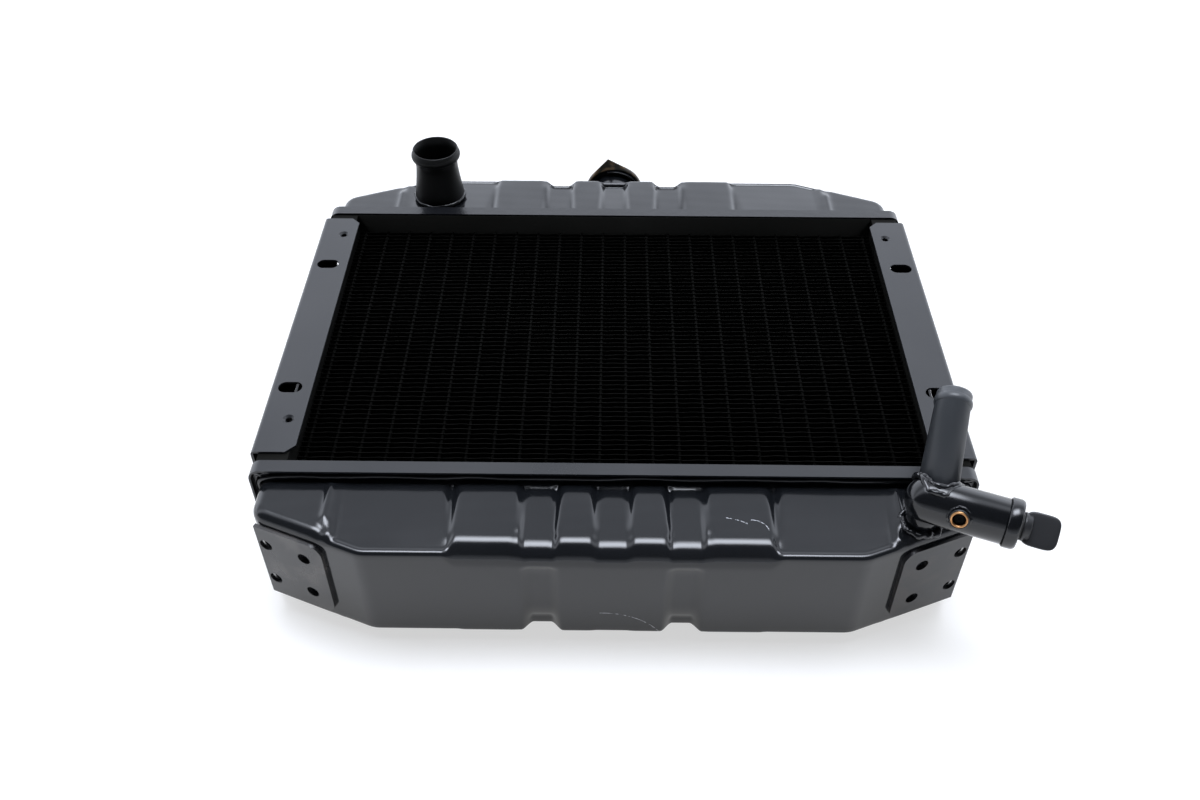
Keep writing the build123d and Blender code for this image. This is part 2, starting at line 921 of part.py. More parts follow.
with BuildPart() as pressure_valve:
    add(
        turned(
            filler_plane,
            [
                (stem_hole, plate_low),
                (valve_radius, plate_low),
                (valve_radius, plate_top),
                (hub_bore + valve_hub_wall, plate_top),
                (hub_bore + valve_hub_wall, plate_top + valve_hub_height),
                (hub_bore, plate_top + valve_hub_height),
                (hub_bore, plate_top),
                (stem_hole, plate_top),
            ],
        )
    )
keep("pressure_valve", pressure_valve)

with BuildPart() as valve_seal:
    add(washer(filler_plane, valve_radius, valve_seal_bore, seal_low, seal_top))
keep("valve_seal", valve_seal)

with BuildPart() as cap_spring:
    add(
        coil(
            filler_plane,
            spring_radius,
            spring_wire,
            spring_turns,
            plate_top + seal_gap,
            disc_low - seal_gap,
        )
    )
keep("cap_spring", cap_spring)

vacuum_top = plate_low - seal_gap
head_low = plate_top + vacuum_head_gap
with BuildPart() as vacuum_valve:
    add(rod(filler_plane, vacuum_radius, vacuum_top - vacuum_gauge, vacuum_top))
    add(rod(filler_plane, vacuum_stem, vacuum_top, head_low))
    add(rod(filler_plane, vacuum_head_radius, head_low, head_low + vacuum_head_gauge))
keep("vacuum_valve", vacuum_valve)

with BuildPart() as vacuum_spring:
    add(
        coil(
            filler_plane,
            (vacuum_head_radius + vacuum_stem) / 2,
            vacuum_spring_wire,
            vacuum_spring_turns,
            plate_top + seal_gap,
            head_low - seal_gap,
        )
    )
keep("vacuum_spring", vacuum_spring)

print(len(parts), "parts")
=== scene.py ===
"""The finished look of a car radiator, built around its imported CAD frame.

Each sub-assembly is a class: its fields are its sizes in millimetres, and its methods build its
meshes as numpy surfaces and dress them. Each finish is a frozen dataclass that makes a material.
The axes are the frame's: X across the core, Y from the bottom tank to the top tank, Z out of the
face that carries the hose necks.
"""

import logging
import math
from dataclasses import dataclass
from enum import Enum

import bpy
import numpy as np
from mathutils import Matrix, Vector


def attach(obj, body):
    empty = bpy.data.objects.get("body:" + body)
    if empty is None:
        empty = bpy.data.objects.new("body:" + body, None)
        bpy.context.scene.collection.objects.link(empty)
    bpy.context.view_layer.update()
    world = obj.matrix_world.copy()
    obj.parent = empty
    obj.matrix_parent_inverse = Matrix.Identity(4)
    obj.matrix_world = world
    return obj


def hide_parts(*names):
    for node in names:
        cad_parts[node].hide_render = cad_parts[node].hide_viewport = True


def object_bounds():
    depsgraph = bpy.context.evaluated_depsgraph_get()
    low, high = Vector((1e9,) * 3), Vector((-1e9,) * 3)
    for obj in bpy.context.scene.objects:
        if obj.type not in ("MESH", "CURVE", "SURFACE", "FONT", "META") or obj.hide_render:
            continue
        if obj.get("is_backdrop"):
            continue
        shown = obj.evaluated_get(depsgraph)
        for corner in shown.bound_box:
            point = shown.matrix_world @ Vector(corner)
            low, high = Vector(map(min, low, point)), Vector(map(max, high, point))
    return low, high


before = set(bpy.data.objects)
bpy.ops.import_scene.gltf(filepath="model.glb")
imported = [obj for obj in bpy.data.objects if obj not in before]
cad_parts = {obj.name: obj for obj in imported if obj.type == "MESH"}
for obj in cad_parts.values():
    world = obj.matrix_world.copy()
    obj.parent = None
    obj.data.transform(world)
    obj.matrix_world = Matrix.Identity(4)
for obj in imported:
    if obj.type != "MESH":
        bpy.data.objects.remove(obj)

LOG = logging.getLogger("radiator")
MM = 0.001
# ripple(): how many waves, and each one's length and height against the one before.
WAVES, WAVE_SHRINK, WAVE_FADE = 5, 0.62, 0.7
WAVE_SUM = 2.2


# Mesh helpers -------------------------------------------------------------------------------


def smooth_step(value: np.ndarray, low: float, high: float) -> np.ndarray:
    """A smooth rise from 0 at low to 1 at high: 3t^2 - 2t^3 of the clamped share t."""
    share = np.clip((value - low) / (high - low), 0.0, 1.0)
    return share * share * (3.0 - 2.0 * share)


def band(value: np.ndarray, low: float, high: float, soft: float) -> np.ndarray:
    """A plateau of 1 between low and high, with flanks of width soft centred on both."""
    rise = smooth_step(value, low - soft / 2, low + soft / 2)
    return rise - smooth_step(value, high - soft / 2, high + soft / 2)


def hump(value: np.ndarray, centre: float, width: float) -> np.ndarray:
    """A bell of height 1: exp(-((value - centre) / width)^2)."""
    return np.exp(-(((value - centre) / width) ** 2))


def signed_power(value: np.ndarray, power: float) -> np.ndarray:
    """The size of a value to a power, with the value's sign."""
    return np.sign(value) * np.abs(value) ** power


def full_turn(steps: int) -> np.ndarray:
    """Even angles once round, without the last."""
    return np.linspace(0, 2 * math.pi, steps, endpoint=False)


def ripple(x: np.ndarray, y: np.ndarray, wave: float, seed: int) -> np.ndarray:
    """Slow unevenness of hand-worked metal: a sum of sine waves with fixed directions.

    Args:
        x: first coordinate.
        y: second coordinate.
        wave: longest wavelength, in the units of x and y.
        seed: picks the directions and phases.

    Returns:
        A height of about -1 to 1 at each point.
    """
    random = np.random.default_rng(seed)
    total = np.zeros(np.broadcast(x, y).shape)
    for octave in range(WAVES):
        angle, phase = random.uniform(0, 2 * math.pi, 2)
        scale = 2 * math.pi / (wave * WAVE_SHRINK**octave)
        total += WAVE_FADE**octave * np.sin(scale * (x * math.cos(angle) + y * math.sin(angle)) + phase)
    return total / WAVE_SUM


def put_mesh(name: str, points: np.ndarray, faces: list, smooth: bool = True) -> bpy.types.Object:
    """Puts vertices and faces into a new object at the origin.

    Args:
        name: the piece's name.
        points: vertices in millimetres, one row each.
        faces: lists of vertex numbers.
        smooth: whether the faces shade smoothly.

    Returns:
        The new object, linked to the scene.
    """
    mesh = bpy.data.meshes.new(name)
    mesh.from_pydata((points * MM).tolist(), [], faces)
    mesh.polygons.foreach_set("use_smooth", np.full(len(mesh.polygons), smooth))
    mesh.update()
    piece = bpy.data.objects.new(name, mesh)
    bpy.context.scene.collection.objects.link(piece)
    return piece


def grid_faces(rows: int, columns: int, close_rows: bool, close_columns: bool) -> np.ndarray:
    """Quads of a grid whose vertex (i, j) is number i * columns + j.

    Args:
        rows: number of rows.
        columns: number of columns.
        close_rows: whether the last row joins the first.
        close_columns: whether the last column joins the first.

    Returns:
        One row of four vertex numbers for each quad.
    """
    i = np.arange(rows if close_rows else rows - 1)[:, None]
    j = np.arange(columns if close_columns else columns - 1)[None, :]
    i2, j2 = (i + 1) % rows, (j + 1) % columns
    corners = [i * columns + j, i2 * columns + j, i2 * columns + j2, i * columns + j2]
    return np.stack([np.broadcast_to(c, (i.size, j.size)) for c in corners], -1).reshape(-1, 4)


def surface(
    name: str,
    grid: np.ndarray,
    close_rows: bool = False,
    close_columns: bool = False,
    cap_ends: bool = False,
    flip: bool = False,
) -> bpy.types.Object:
    """Makes a piece from a grid of points, a function of two parameters.

    Args:
        name: the piece's name.
        grid: points in millimetres, rows by columns by 3.
        close_rows: whether the last row joins the first.
        close_columns: whether the last column joins the first.
        cap_ends: whether the first and last rows get a flat face each.
        flip: whether to turn the faces round.

    Returns:
        The new object.
    """
    rows, columns = grid.shape[:2]
    faces = grid_faces(rows, columns, close_rows, close_columns).tolist()
    if cap_ends:
        faces.append(list(range(columns)))
        faces.append(list(range(rows * columns - 1, (rows - 1) * columns - 1, -1)))
    if flip:
        faces = [face[::-1] for face in faces]
    return put_mesh(name, grid.reshape(-1, 3), faces)


def closed(name: str, grid: np.ndarray) -> bpy.types.Object:
    """Makes a piece from a grid that closes both ways."""
    return surface(name, grid, close_rows=True, close_columns=True)


def box(name: str, low: tuple, high: tuple) -> bpy.types.Object:
    """Makes a plain box between two opposite corners.

    Args:
        name: the piece's name.
        low: the lowest x, y and z, in millimetres.
        high: the highest x, y and z.

    Returns:
        The new object.
    """
    (x0, y0, z0), (x1, y1, z1) = low, high
    section = ((x0, y0), (x1, y0), (x1, y1), (x0, y1))
    grid = np.array([[(x, y, z) for x, y in section] for z in (z1, z0)])
    return surface(name, grid, close_columns=True, cap_ends=True)


def join(name: str, pieces: list) -> bpy.types.Object:
    """Joins pieces into one object with that name.

    Args:
        name: the joined piece's name.
        pieces: the objects, which are used up.

    Returns:
        The joined object.
    """
    bpy.ops.object.select_all(action="DESELECT")
    for piece in pieces:
        piece.select_set(True)
    bpy.context.view_layer.objects.active = pieces[0]
    bpy.ops.object.join()
    pieces[0].name = name
    return pieces[0]


@dataclass(frozen=True)
class Axis3:
    """A line in space with a direction square to it, in millimetres; straight up unless told."""

    origin: tuple
    along: tuple = (0, 0, 1)
    across: tuple = (1, 0, 0)

    def place(self, across: np.ndarray, third: np.ndarray, along: np.ndarray) -> np.ndarray:
        """Points with the given offsets: across, square to both, and along the line."""
        a = np.array(self.along, float)
        c = np.array(self.across, float)
        t = np.cross(a, c)
        base = np.array(self.origin, float)
        return (
            base
            + np.asarray(across)[..., None] * c
            + np.asarray(third)[..., None] * t
            + np.asarray(along)[..., None] * a
        )

    def circle(self, radius: float, along: float, steps: int) -> np.ndarray:
        """Points of a circle round the line, at a distance along it."""
        turn = full_turn(steps)
        return self.place(radius * np.cos(turn), radius * np.sin(turn), along + 0 * turn)


def lathe(axis: Axis3, profile: list, turns: int = 96) -> np.ndarray:
    """A profile carried round an axis: radius r and height h give (r cos a, r sin a, h).

    Args:
        axis: the axis of the turning.
        profile: (radius, height) corners, a closed loop, with the material on its left.
        turns: number of steps round the axis.

    Returns:
        A grid of points, closed both ways.
    """
    angle = full_turn(turns)[None, :]
    loop = np.array(profile, float)
    radius, height = loop[:, 0:1], loop[:, 1:2]
    return axis.place(radius * np.cos(angle), radius * np.sin(angle), height + 0 * angle)


def arc(radius: float, low: float, high: float, steps: int) -> list:
    """Points (radius cos a, radius sin a), for even angles a from low to high."""
    return [(radius * math.cos(a), radius * math.sin(a)) for a in np.linspace(low, high, steps)]


def bead(path: np.ndarray, radius: float, lump: float, seed: int, sides: int = 14) -> np.ndarray:
    """A lumpy weld bead along a closed path.

    The radius at path step s and side angle a is radius * (1 + lump * ripple(s, a)). The ripple
    is read on a ring of radius 9 for the path and 1.5 for the sides, so that it closes.

    Args:
        path: points of the closed path, in millimetres.
        radius: mean radius of the bead.
        lump: share by which the radius varies.
        seed: picks the lumps.
        sides: steps round the bead.

    Returns:
        A grid of points, closed both ways.
    """
    along = np.roll(path, -1, 0) - np.roll(path, 1, 0)
    along /= np.linalg.norm(along, axis=1, keepdims=True)
    centre = path.mean(0)
    out = path - centre
    out -= (out * along).sum(1, keepdims=True) * along
    out /= np.linalg.norm(out, axis=1, keepdims=True)
    third = np.cross(along, out)
    angle, step = full_turn(sides)[None, :], full_turn(len(path))[:, None]
    ring, tube, wave = 9.0, 1.5, 7.0
    first = ring * np.cos(step) + tube * np.cos(angle)
    second = ring * np.sin(step) + tube * np.sin(angle)
    size = radius * (1 + lump * ripple(first, second, wave, seed))
    return (
        path[:, None]
        + (size * np.cos(angle))[..., None] * out[:, None]
        + (size * np.sin(angle))[..., None] * third[:, None]
    )


def blob(centre: tuple, size: tuple, seed: int) -> np.ndarray:
    """A lump of solder: a ball with half-lengths size, swollen and dented by ripple().

    Args:
        centre: middle of the lump, in millimetres.
        size: half-lengths along X, Y and Z.
        seed: picks the dents.

    Returns:
        A grid of points, closed round its columns.
    """
    pole, dent, wave = 0.02, 0.22, 3.0
    polar = np.linspace(pole, math.pi - pole, 20)[:, None]
    turn = full_turn(32)[None, :]
    ball = np.stack(
        [np.sin(polar) * np.cos(turn), np.sin(polar) * np.sin(turn), np.cos(polar) + 0 * turn], -1
    )
    swell = 1 + dent * ripple(3 * ball[..., 0] + ball[..., 2], 3 * ball[..., 1], wave, seed)
    return np.array(centre) + ball * swell[..., None] * np.array(size)


def soften(names: tuple, width: float) -> None:
    """Rounds the sharp edges of CAD nodes with a live bevel.

    Args:
        names: the nodes.
        width: size of the rounding in millimetres.
    """
    for name in names:
        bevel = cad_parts[name].modifiers.new("soft_edges", "BEVEL")
        bevel.width = width * MM
        bevel.segments = 2
        bevel.limit_method = "ANGLE"
        bevel.angle_limit = math.radians(40)
        bevel.harden_normals = True


# Finishes -----------------------------------------------------------------------------------


class Nodes:
    """A short way to add and join shader nodes in one tree."""

    def __init__(self, tree: bpy.types.NodeTree) -> None:
        """Keeps the tree that nodes are added to."""
        self.tree = tree

    def add(self, kind: str, **values: object) -> bpy.types.Node:
        """Adds a node and sets its inputs or properties by name.

        Args:
            kind: the node's type.
            values: socket or property values; a socket's name has _ for spaces.

        Returns:
            The new node.
        """
        node = self.tree.nodes.new(kind)
        for name, value in values.items():
            socket = node.inputs.get(name.replace("_", " "))
            if socket is None:
                setattr(node, name, value)
            elif isinstance(value, bpy.types.NodeSocket):
                self.tree.links.new(value, socket)
            else:
                socket.default_value = value
        return node

    def math(self, operation: str, *values: object) -> bpy.types.NodeSocket:
        """Adds a math node on the values, sockets or numbers, and returns its output."""
        node = self.tree.nodes.new("ShaderNodeMath")
        node.operation = operation
        for number, value in enumerate(values):
            if isinstance(value, bpy.types.NodeSocket):
                self.tree.links.new(value, node.inputs[number])
            else:
                node.inputs[number].default_value = value
        return node.outputs[0]

    def noise(self, place: object, scale: object, detail: float = 2.0) -> bpy.types.NodeSocket:
        """Adds a noise texture at a scale, socket or number, and returns its value."""
        node = self.add("ShaderNodeTexNoise", Vector=place, Scale=scale, Detail=detail)
        return node.outputs["Fac"]

    def remap(self, value: object, low: float, high: float, **ends: float) -> bpy.types.NodeSocket:
        """Maps low to high onto 0 to 1, or onto To_Min to To_Max, and returns the output."""
        node = self.add("ShaderNodeMapRange", Value=value, From_Min=low, From_Max=high, **ends)
        return node.outputs[0]

    def product(self, first: object, *others: object) -> bpy.types.NodeSocket:
        """Multiplies sockets or numbers together and returns the last output."""
        for other in others:
            first = self.math("MULTIPLY", first, other)
        return first


def make_group(name: str, inputs: dict, outputs: list) -> tuple:
    """Starts a shader node group with named float inputs and outputs.

    Args:
        name: the group's name.
        inputs: input name to default value; a vector input has None.
        outputs: output names.

    Returns:
        The group, a Nodes helper on it, its input node and its output node.
    """
    group = bpy.data.node_groups.new(name, "ShaderNodeTree")
    for label, value in inputs.items():
        kind = "NodeSocketVector" if value is None else "NodeSocketFloat"
        socket = group.interface.new_socket(label, in_out="INPUT", socket_type=kind)
        if value is not None:
            socket.default_value = value
    for label in outputs:
        group.interface.new_socket(label, in_out="OUTPUT", socket_type="NodeSocketFloat")
    nodes = Nodes(group)
    return group, nodes, nodes.add("NodeGroupInput"), nodes.add("NodeGroupOutput")


class Effects:
    """Shader node groups that several finishes share. Noise scales are per metre."""

    WAVE_SCALE = 28.0
    CLOUD_SCALE = 12.0
    SPECK_SCALE = 900.0
    FILM_SCALE = 9.0
    PATCH_SCALE = 16.0
    BREAK_SCALE = 700.0
    STREAKS = ((0.35, (9.0, 420.0, 420.0)), (2.0, (14.0, 520.0, 520.0)))

    def __init__(self) -> None:
        """Builds each group once."""
        self.skin = self._skin()
        self.dust = self._dust()
        self.marks = self._marks()
        self.arc = self._arc()

    @classmethod
    def _skin(cls) -> bpy.types.NodeTree:
        """Sprayed paint: fine peel plus slow waves as a height, and uneven gloss."""
        inputs = {"Vector": None, "Peel": 1.0, "Wave": 1.0, "Grain": 400.0}
        group, nodes, start, end = make_group("paint_skin", inputs, ["Height", "Gloss"])
        place = start.outputs["Vector"]
        fine = nodes.product(nodes.noise(place, start.outputs["Grain"]), start.outputs["Peel"])
        slow = nodes.product(nodes.noise(place, cls.WAVE_SCALE, 1.0), start.outputs["Wave"])
        group.links.new(nodes.math("ADD", fine, slow), end.inputs["Height"])
        group.links.new(nodes.noise(place, cls.CLOUD_SCALE, 4.0), end.inputs["Gloss"])
        return group

    @classmethod
    def _dust(cls) -> bpy.types.NodeTree:
        """Dust and dry spray: specks and clouds, more on faces that look up."""
        group, nodes, start, end = make_group("dust_film", {"Vector": None, "Amount": 0.3}, ["Mask"])
        place = start.outputs["Vector"]
        dots = nodes.remap(nodes.noise(place, cls.SPECK_SCALE), 0.62, 0.72)
        soft = nodes.remap(nodes.noise(place, cls.FILM_SCALE, 5.0), 0.35, 0.7)
        facing = nodes.add("ShaderNodeNewGeometry").outputs["Normal"]
        upward = nodes.add("ShaderNodeSeparateXYZ", Vector=facing).outputs["Z"]
        share = nodes.math("MULTIPLY_ADD", upward, 0.35, 0.65)
        both = nodes.math("MULTIPLY_ADD", dots, 0.5, soft)
        group.links.new(nodes.product(both, share, start.outputs["Amount"]), end.inputs["Mask"])
        return group

    @classmethod
    def _marks(cls) -> bpy.types.NodeTree:
        """Scuffs: thin streaks of stretched noise in two directions, kept to a few patches."""
        group, nodes, start, end = make_group("scuff_marks", {"Vector": None, "Amount": 0.3}, ["Mask"])
        place = start.outputs["Vector"]
        streaks = []
        for angle, stretch in cls.STREAKS:
            turned = nodes.add("ShaderNodeMapping", Vector=place)
            turned.inputs["Rotation"].default_value = (0.0, 0.0, angle)
            turned.inputs["Scale"].default_value = stretch
            streaks.append(nodes.remap(nodes.noise(turned.outputs[0], 1.0, 1.0), 0.71, 0.76))
        where = nodes.remap(nodes.noise(place, cls.PATCH_SCALE), 0.5, 0.65)
        mask = nodes.product(nodes.math("MAXIMUM", *streaks), where, start.outputs["Amount"])
        group.links.new(mask, end.inputs["Mask"])
        return group

    @classmethod
    def _arc(cls) -> bpy.types.NodeTree:
        """One long scratch: points at Radius from Centre, between two places along X.

        It stays above Over in Z, and beyond Centre in Y with 1 mm to spare.
        """
        inputs = {"Vector": None, "Centre": None, "Radius": 0.01, "Low": 0.0, "High": 0.01}
        inputs |= {"Width": 0.0003, "Over": 0.0}
        group, nodes, start, end = make_group("arc_scratch", inputs, ["Mask"])
        given = start.outputs
        away = nodes.add("ShaderNodeVectorMath", operation="DISTANCE")
        group.links.new(given["Vector"], away.inputs[0])
        group.links.new(given["Centre"], away.inputs[1])
        place = nodes.add("ShaderNodeSeparateXYZ", Vector=given["Vector"]).outputs
        middle = nodes.add("ShaderNodeSeparateXYZ", Vector=given["Centre"]).outputs
        mask = nodes.product(
            nodes.math("COMPARE", away.outputs["Value"], given["Radius"], given["Width"]),
            nodes.math("GREATER_THAN", place["X"], given["Low"]),
            nodes.math("LESS_THAN", place["X"], given["High"]),
            nodes.math("GREATER_THAN", nodes.noise(given["Vector"], cls.BREAK_SCALE), 0.47),
            nodes.math("GREATER_THAN", place["Y"], nodes.math("SUBTRACT", middle["Y"], MM)),
            nodes.math("GREATER_THAN", place["Z"], given["Over"]),
        )
        group.links.new(mask, end.inputs["Mask"])
        return group


@dataclass(frozen=True)
class Scratch:
    """A curved scratch, in millimetres: part of a circle on a face of the piece."""

    centre: tuple
    radius: float
    low: float
    high: float
    width: float = 0.25
    over: float = -30.0

    def inputs(self) -> dict:
        """The inputs of the arc_scratch group, in metres."""
        names = ("Radius", "Low", "High", "Width", "Over")
        sizes = {name: getattr(self, name.lower()) * MM for name in names}
        return sizes | {"Centre": tuple(value * MM for value in self.centre)}


@dataclass(frozen=True)
class Finish:
    """A painted, moulded or bare surface, with its wear."""

    # Noise values that a patch grows between, roughness that full dust adds, and the coat's own.
    PATCHES = (0.45, 0.62)
    DUST_DULLS = 0.6
    COAT_ROUGHNESS = 0.06

    name: str
    colour: tuple
    roughness: float
    metallic: float = 0.0
    specular: float = 0.5
    coat: float = 0.0
    peel: float = 0.25
    wave: float = 0.6
    grain: float = 420.0
    depth_mm: float = 0.05
    gloss_spread: float = 0.08
    dust: float = 0.12
    dust_colour: tuple = (0.2, 0.19, 0.18)
    scuffs: float = 0.0
    scuff_colour: tuple = (0.35, 0.35, 0.36)
    mottle: float = 0.0
    mottle_colour: tuple = (0.06, 0.045, 0.035)
    mottle_scale: float = 60.0
    scratches: tuple = ()

    def material(self, effects: Effects) -> bpy.types.Material:
        """Builds the finish's material.

        Args:
            effects: the shared node groups.

        Returns:
            The new material.
        """
        material = bpy.data.materials.new(self.name)
        material.use_nodes = True
        material.node_tree.nodes.clear()
        nodes = Nodes(material.node_tree)
        place = nodes.add("ShaderNodeTexCoord").outputs["Object"]
        skin = self._use(nodes, effects.skin, place, Peel=self.peel, Wave=self.wave, Grain=self.grain)
        dust = self._use(nodes, effects.dust, place, Amount=self.dust)
        marks = self._use(nodes, effects.marks, place, Amount=self.scuffs)
        patch = nodes.remap(
            nodes.noise(place, self.mottle_scale, 5.0), *self.PATCHES, To_Max=self.mottle
        )
        colour = self._mix(nodes, patch, self.colour, self.mottle_colour)
        colour = self._mix(nodes, dust.outputs["Mask"], colour, self.dust_colour)
        colour = self._mix(nodes, marks.outputs["Mask"], colour, self.scuff_colour)
        for scratch in self.scratches:
            arc = self._use(nodes, effects.arc, place, **scratch.inputs())
            colour = self._mix(nodes, arc.outputs["Mask"], colour, self.scuff_colour)
        uneven = nodes.math("MULTIPLY_ADD", skin.outputs["Gloss"], self.gloss_spread, self.roughness)
        dulled = nodes.math("MULTIPLY_ADD", dust.outputs["Mask"], self.DUST_DULLS, uneven)
        bump = nodes.add("ShaderNodeBump", Height=skin.outputs["Height"], Strength=1.0)
        bump.inputs["Distance"].default_value = self.depth_mm * MM
        shader = nodes.add(
            "ShaderNodeBsdfPrincipled",
            Base_Color=colour,
            Roughness=dulled,
            Metallic=self.metallic,
            Normal=bump.outputs[0],
            Coat_Weight=self.coat,
            Coat_Roughness=self.COAT_ROUGHNESS,
        )
        shader.inputs["Specular IOR Level"].default_value = self.specular
        out = nodes.add("ShaderNodeOutputMaterial")
        material.node_tree.links.new(shader.outputs[0], out.inputs["Surface"])
        return material

    @staticmethod
    def _use(
        nodes: Nodes, group: bpy.types.NodeTree, place: bpy.types.NodeSocket, **values: float
    ) -> bpy.types.Node:
        """Places a shared group with its own values, on the given coordinates."""
        node = nodes.tree.nodes.new("ShaderNodeGroup")
        node.node_tree = group
        nodes.tree.links.new(place, node.inputs["Vector"])
        for label, value in values.items():
            node.inputs[label].default_value = value
        return node

    @staticmethod
    def _mix(
        nodes: Nodes, share: bpy.types.NodeSocket, base: object, other: tuple
    ) -> bpy.types.NodeSocket:
        """Mixes another colour over a base, which is a colour or a socket."""
        node = nodes.tree.nodes.new("ShaderNodeMix")
        node.data_type = "RGBA"
        nodes.tree.links.new(share, node.inputs[0])
        if isinstance(base, bpy.types.NodeSocket):
            nodes.tree.links.new(base, node.inputs[6])
        else:
            node.inputs[6].default_value = (*base, 1.0)
        node.inputs[7].default_value = (*other, 1.0)
        return node.outputs[2]


class Look(Enum):
    """The finishes that the radiator's pieces wear."""

    TANK = Finish(
        "gloss_black_tank",
        (0.0055, 0.0063, 0.0077),
        0.1,
        dust=0.012,
        scuff_colour=(0.45, 0.46, 0.48),
        scratches=(
            Scratch((75.5, -240.6, -11.0), 40.0, 81.0, 96.0, 0.3),
            Scratch((98.8, -215.0, -11.0), 12.3, 98.5, 110.5, 0.3),
            Scratch((-6.0, -235.0, -128.3), 49.2, -9.0, 37.0, 0.2, -200.0),
        ),
    )
    HEADER = Finish("black_header", (0.008, 0.009, 0.011), 0.24, dust=0.03, peel=0.5)
    SOLDER = Finish("painted_solder", (0.006, 0.0065, 0.008), 0.16, dust=0.0, peel=2.0, wave=3.0, grain=160.0)
    ANGLE = Finish("satin_black_angle", (0.009, 0.01, 0.012), 0.3, dust=0.03, peel=0.5)
    # Two copies of one plate paint: the left one's pale blotches are its own mottled paint, while the right
    # one's lower specular level and fainter mottle paint the shade on the side away from the light.
    PLATE_LEFT = Finish(
        "thin_black_plate_left",
        (0.012, 0.012, 0.013),
        0.22,
        mottle=0.8,
        mottle_scale=45.0,
        mottle_colour=(0.055, 0.05, 0.047),
        dust=0.03,
        wave=1.6,
    )
    PLATE_RIGHT = Finish(
        "thin_black_plate_right_shaded", (0.008, 0.009, 0.011), 0.25, mottle=0.2, dust=0.03, specular=0.35, wave=1.6
    )
    CORE = Finish("dull_black_core", (0.0028, 0.0028, 0.002), 0.8, specular=0.1, dust=0.02)
    TUBES = Finish("worn_black_tubes", (0.11, 0.1, 0.065), 0.5, specular=0.4, dust=0.3)
    TUBE_EDGE = Finish("dull_tube_edge", (0.0015, 0.0015, 0.0012), 0.7, specular=0.04, dust=0.0)
    # Pure matt black: the painted shade inside the bung's hole.
    DARK = Finish("painted_shade_in_bung", (0.001, 0.001, 0.001), 1.0, specular=0.0)
    INLET = Finish("satin_black_inlet", (0.002, 0.0022, 0.002), 0.4, specular=0.2, dust=0.015)
    PIPE = Finish("gloss_black_pipe", (0.0035, 0.004, 0.005), 0.12, dust=0.0, wave=1.0)
    NECK = Finish("satin_black_neck", (0.034, 0.038, 0.043), 0.32, dust=0.06)
    WELD = Finish("painted_weld", (0.004, 0.0045, 0.0055), 0.1, dust=0.0, peel=1.5, wave=3.0, grain=220.0)
    BRASS = Finish(
        "bare_brass", (0.62, 0.33, 0.14), 0.25, metallic=1.0, mottle=0.6, mottle_colour=(0.2, 0.09, 0.04)
    )
    PLASTIC = Finish("moulded_plastic", (0.008, 0.0085, 0.01), 0.42, grain=1200.0, peel=0.8, dust=0.02)
    RUBBER = Finish("black_rubber", (0.01, 0.01, 0.01), 0.6, grain=900.0, peel=1.0)
    CAP = Finish(
        "aged_cap_steel",
        (0.012, 0.01, 0.006),
        0.3,
        metallic=0.6,
        mottle=0.8,
        mottle_scale=140.0,
        mottle_colour=(0.11, 0.07, 0.035),
    )
    SPRING = Finish("bare_spring", (0.5, 0.5, 0.5), 0.3, metallic=1.0)


class Wardrobe:
    """Hands out one material for each look."""

    def __init__(self) -> None:
        """Builds the shared effects; materials are made when first asked for."""
        self.effects = Effects()
        self.made: dict = {}

    def dress(self, piece: bpy.types.Object, look: Look) -> bpy.types.Object:
        """Gives a piece one look, in place of any material it has."""
        if look not in self.made:
            self.made[look] = look.value.material(self.effects)
        piece.data.materials.clear()
        piece.data.materials.append(self.made[look])
        return piece

    def dress_nodes(self, names: tuple, look: Look) -> None:
        """Gives CAD nodes a look, in place of any material they have."""
        for name in names:
            self.dress(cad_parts[name], look)


@dataclass
class SubAssembly:
    """A group of pieces that ride on one body."""

    wardrobe: Wardrobe
    body: str = "radiator"

    def finish_piece(
        self, piece: bpy.types.Object, look: Look, slot: str, replaces: tuple = ()
    ) -> bpy.types.Object:
        """Dresses a new piece and ties it to the frame.

        Args:
            piece: the new piece, in place.
            look: its finish.
            slot: the record's material slot; not used.
            replaces: CAD nodes that it stands for.

        Returns:
            The piece.
        """
        self.wardrobe.dress(piece, look)
        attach(piece, self.body)
        if replaces:
            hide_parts(*replaces)
        LOG.info("made %s with %d faces", piece.name, len(piece.data.polygons))
        return piece

    def turn_piece(
        self,
        name: str,
        axis: Axis3,
        profile: list,
        look: Look,
        slot: str,
        replaces: tuple = (),
        turns: int = 96,
    ) -> bpy.types.Object:
        """Turns a closed profile round an axis and finishes the piece."""
        return self.finish_piece(closed(name, lathe(axis, profile, turns)), look, slot, replaces)


# Tanks --------------------------------------------------------------------------------------


class Side(Enum):
    """Which end of the core a tank closes, as the sign of Y."""

    BOTTOM = -1
    TOP = 1


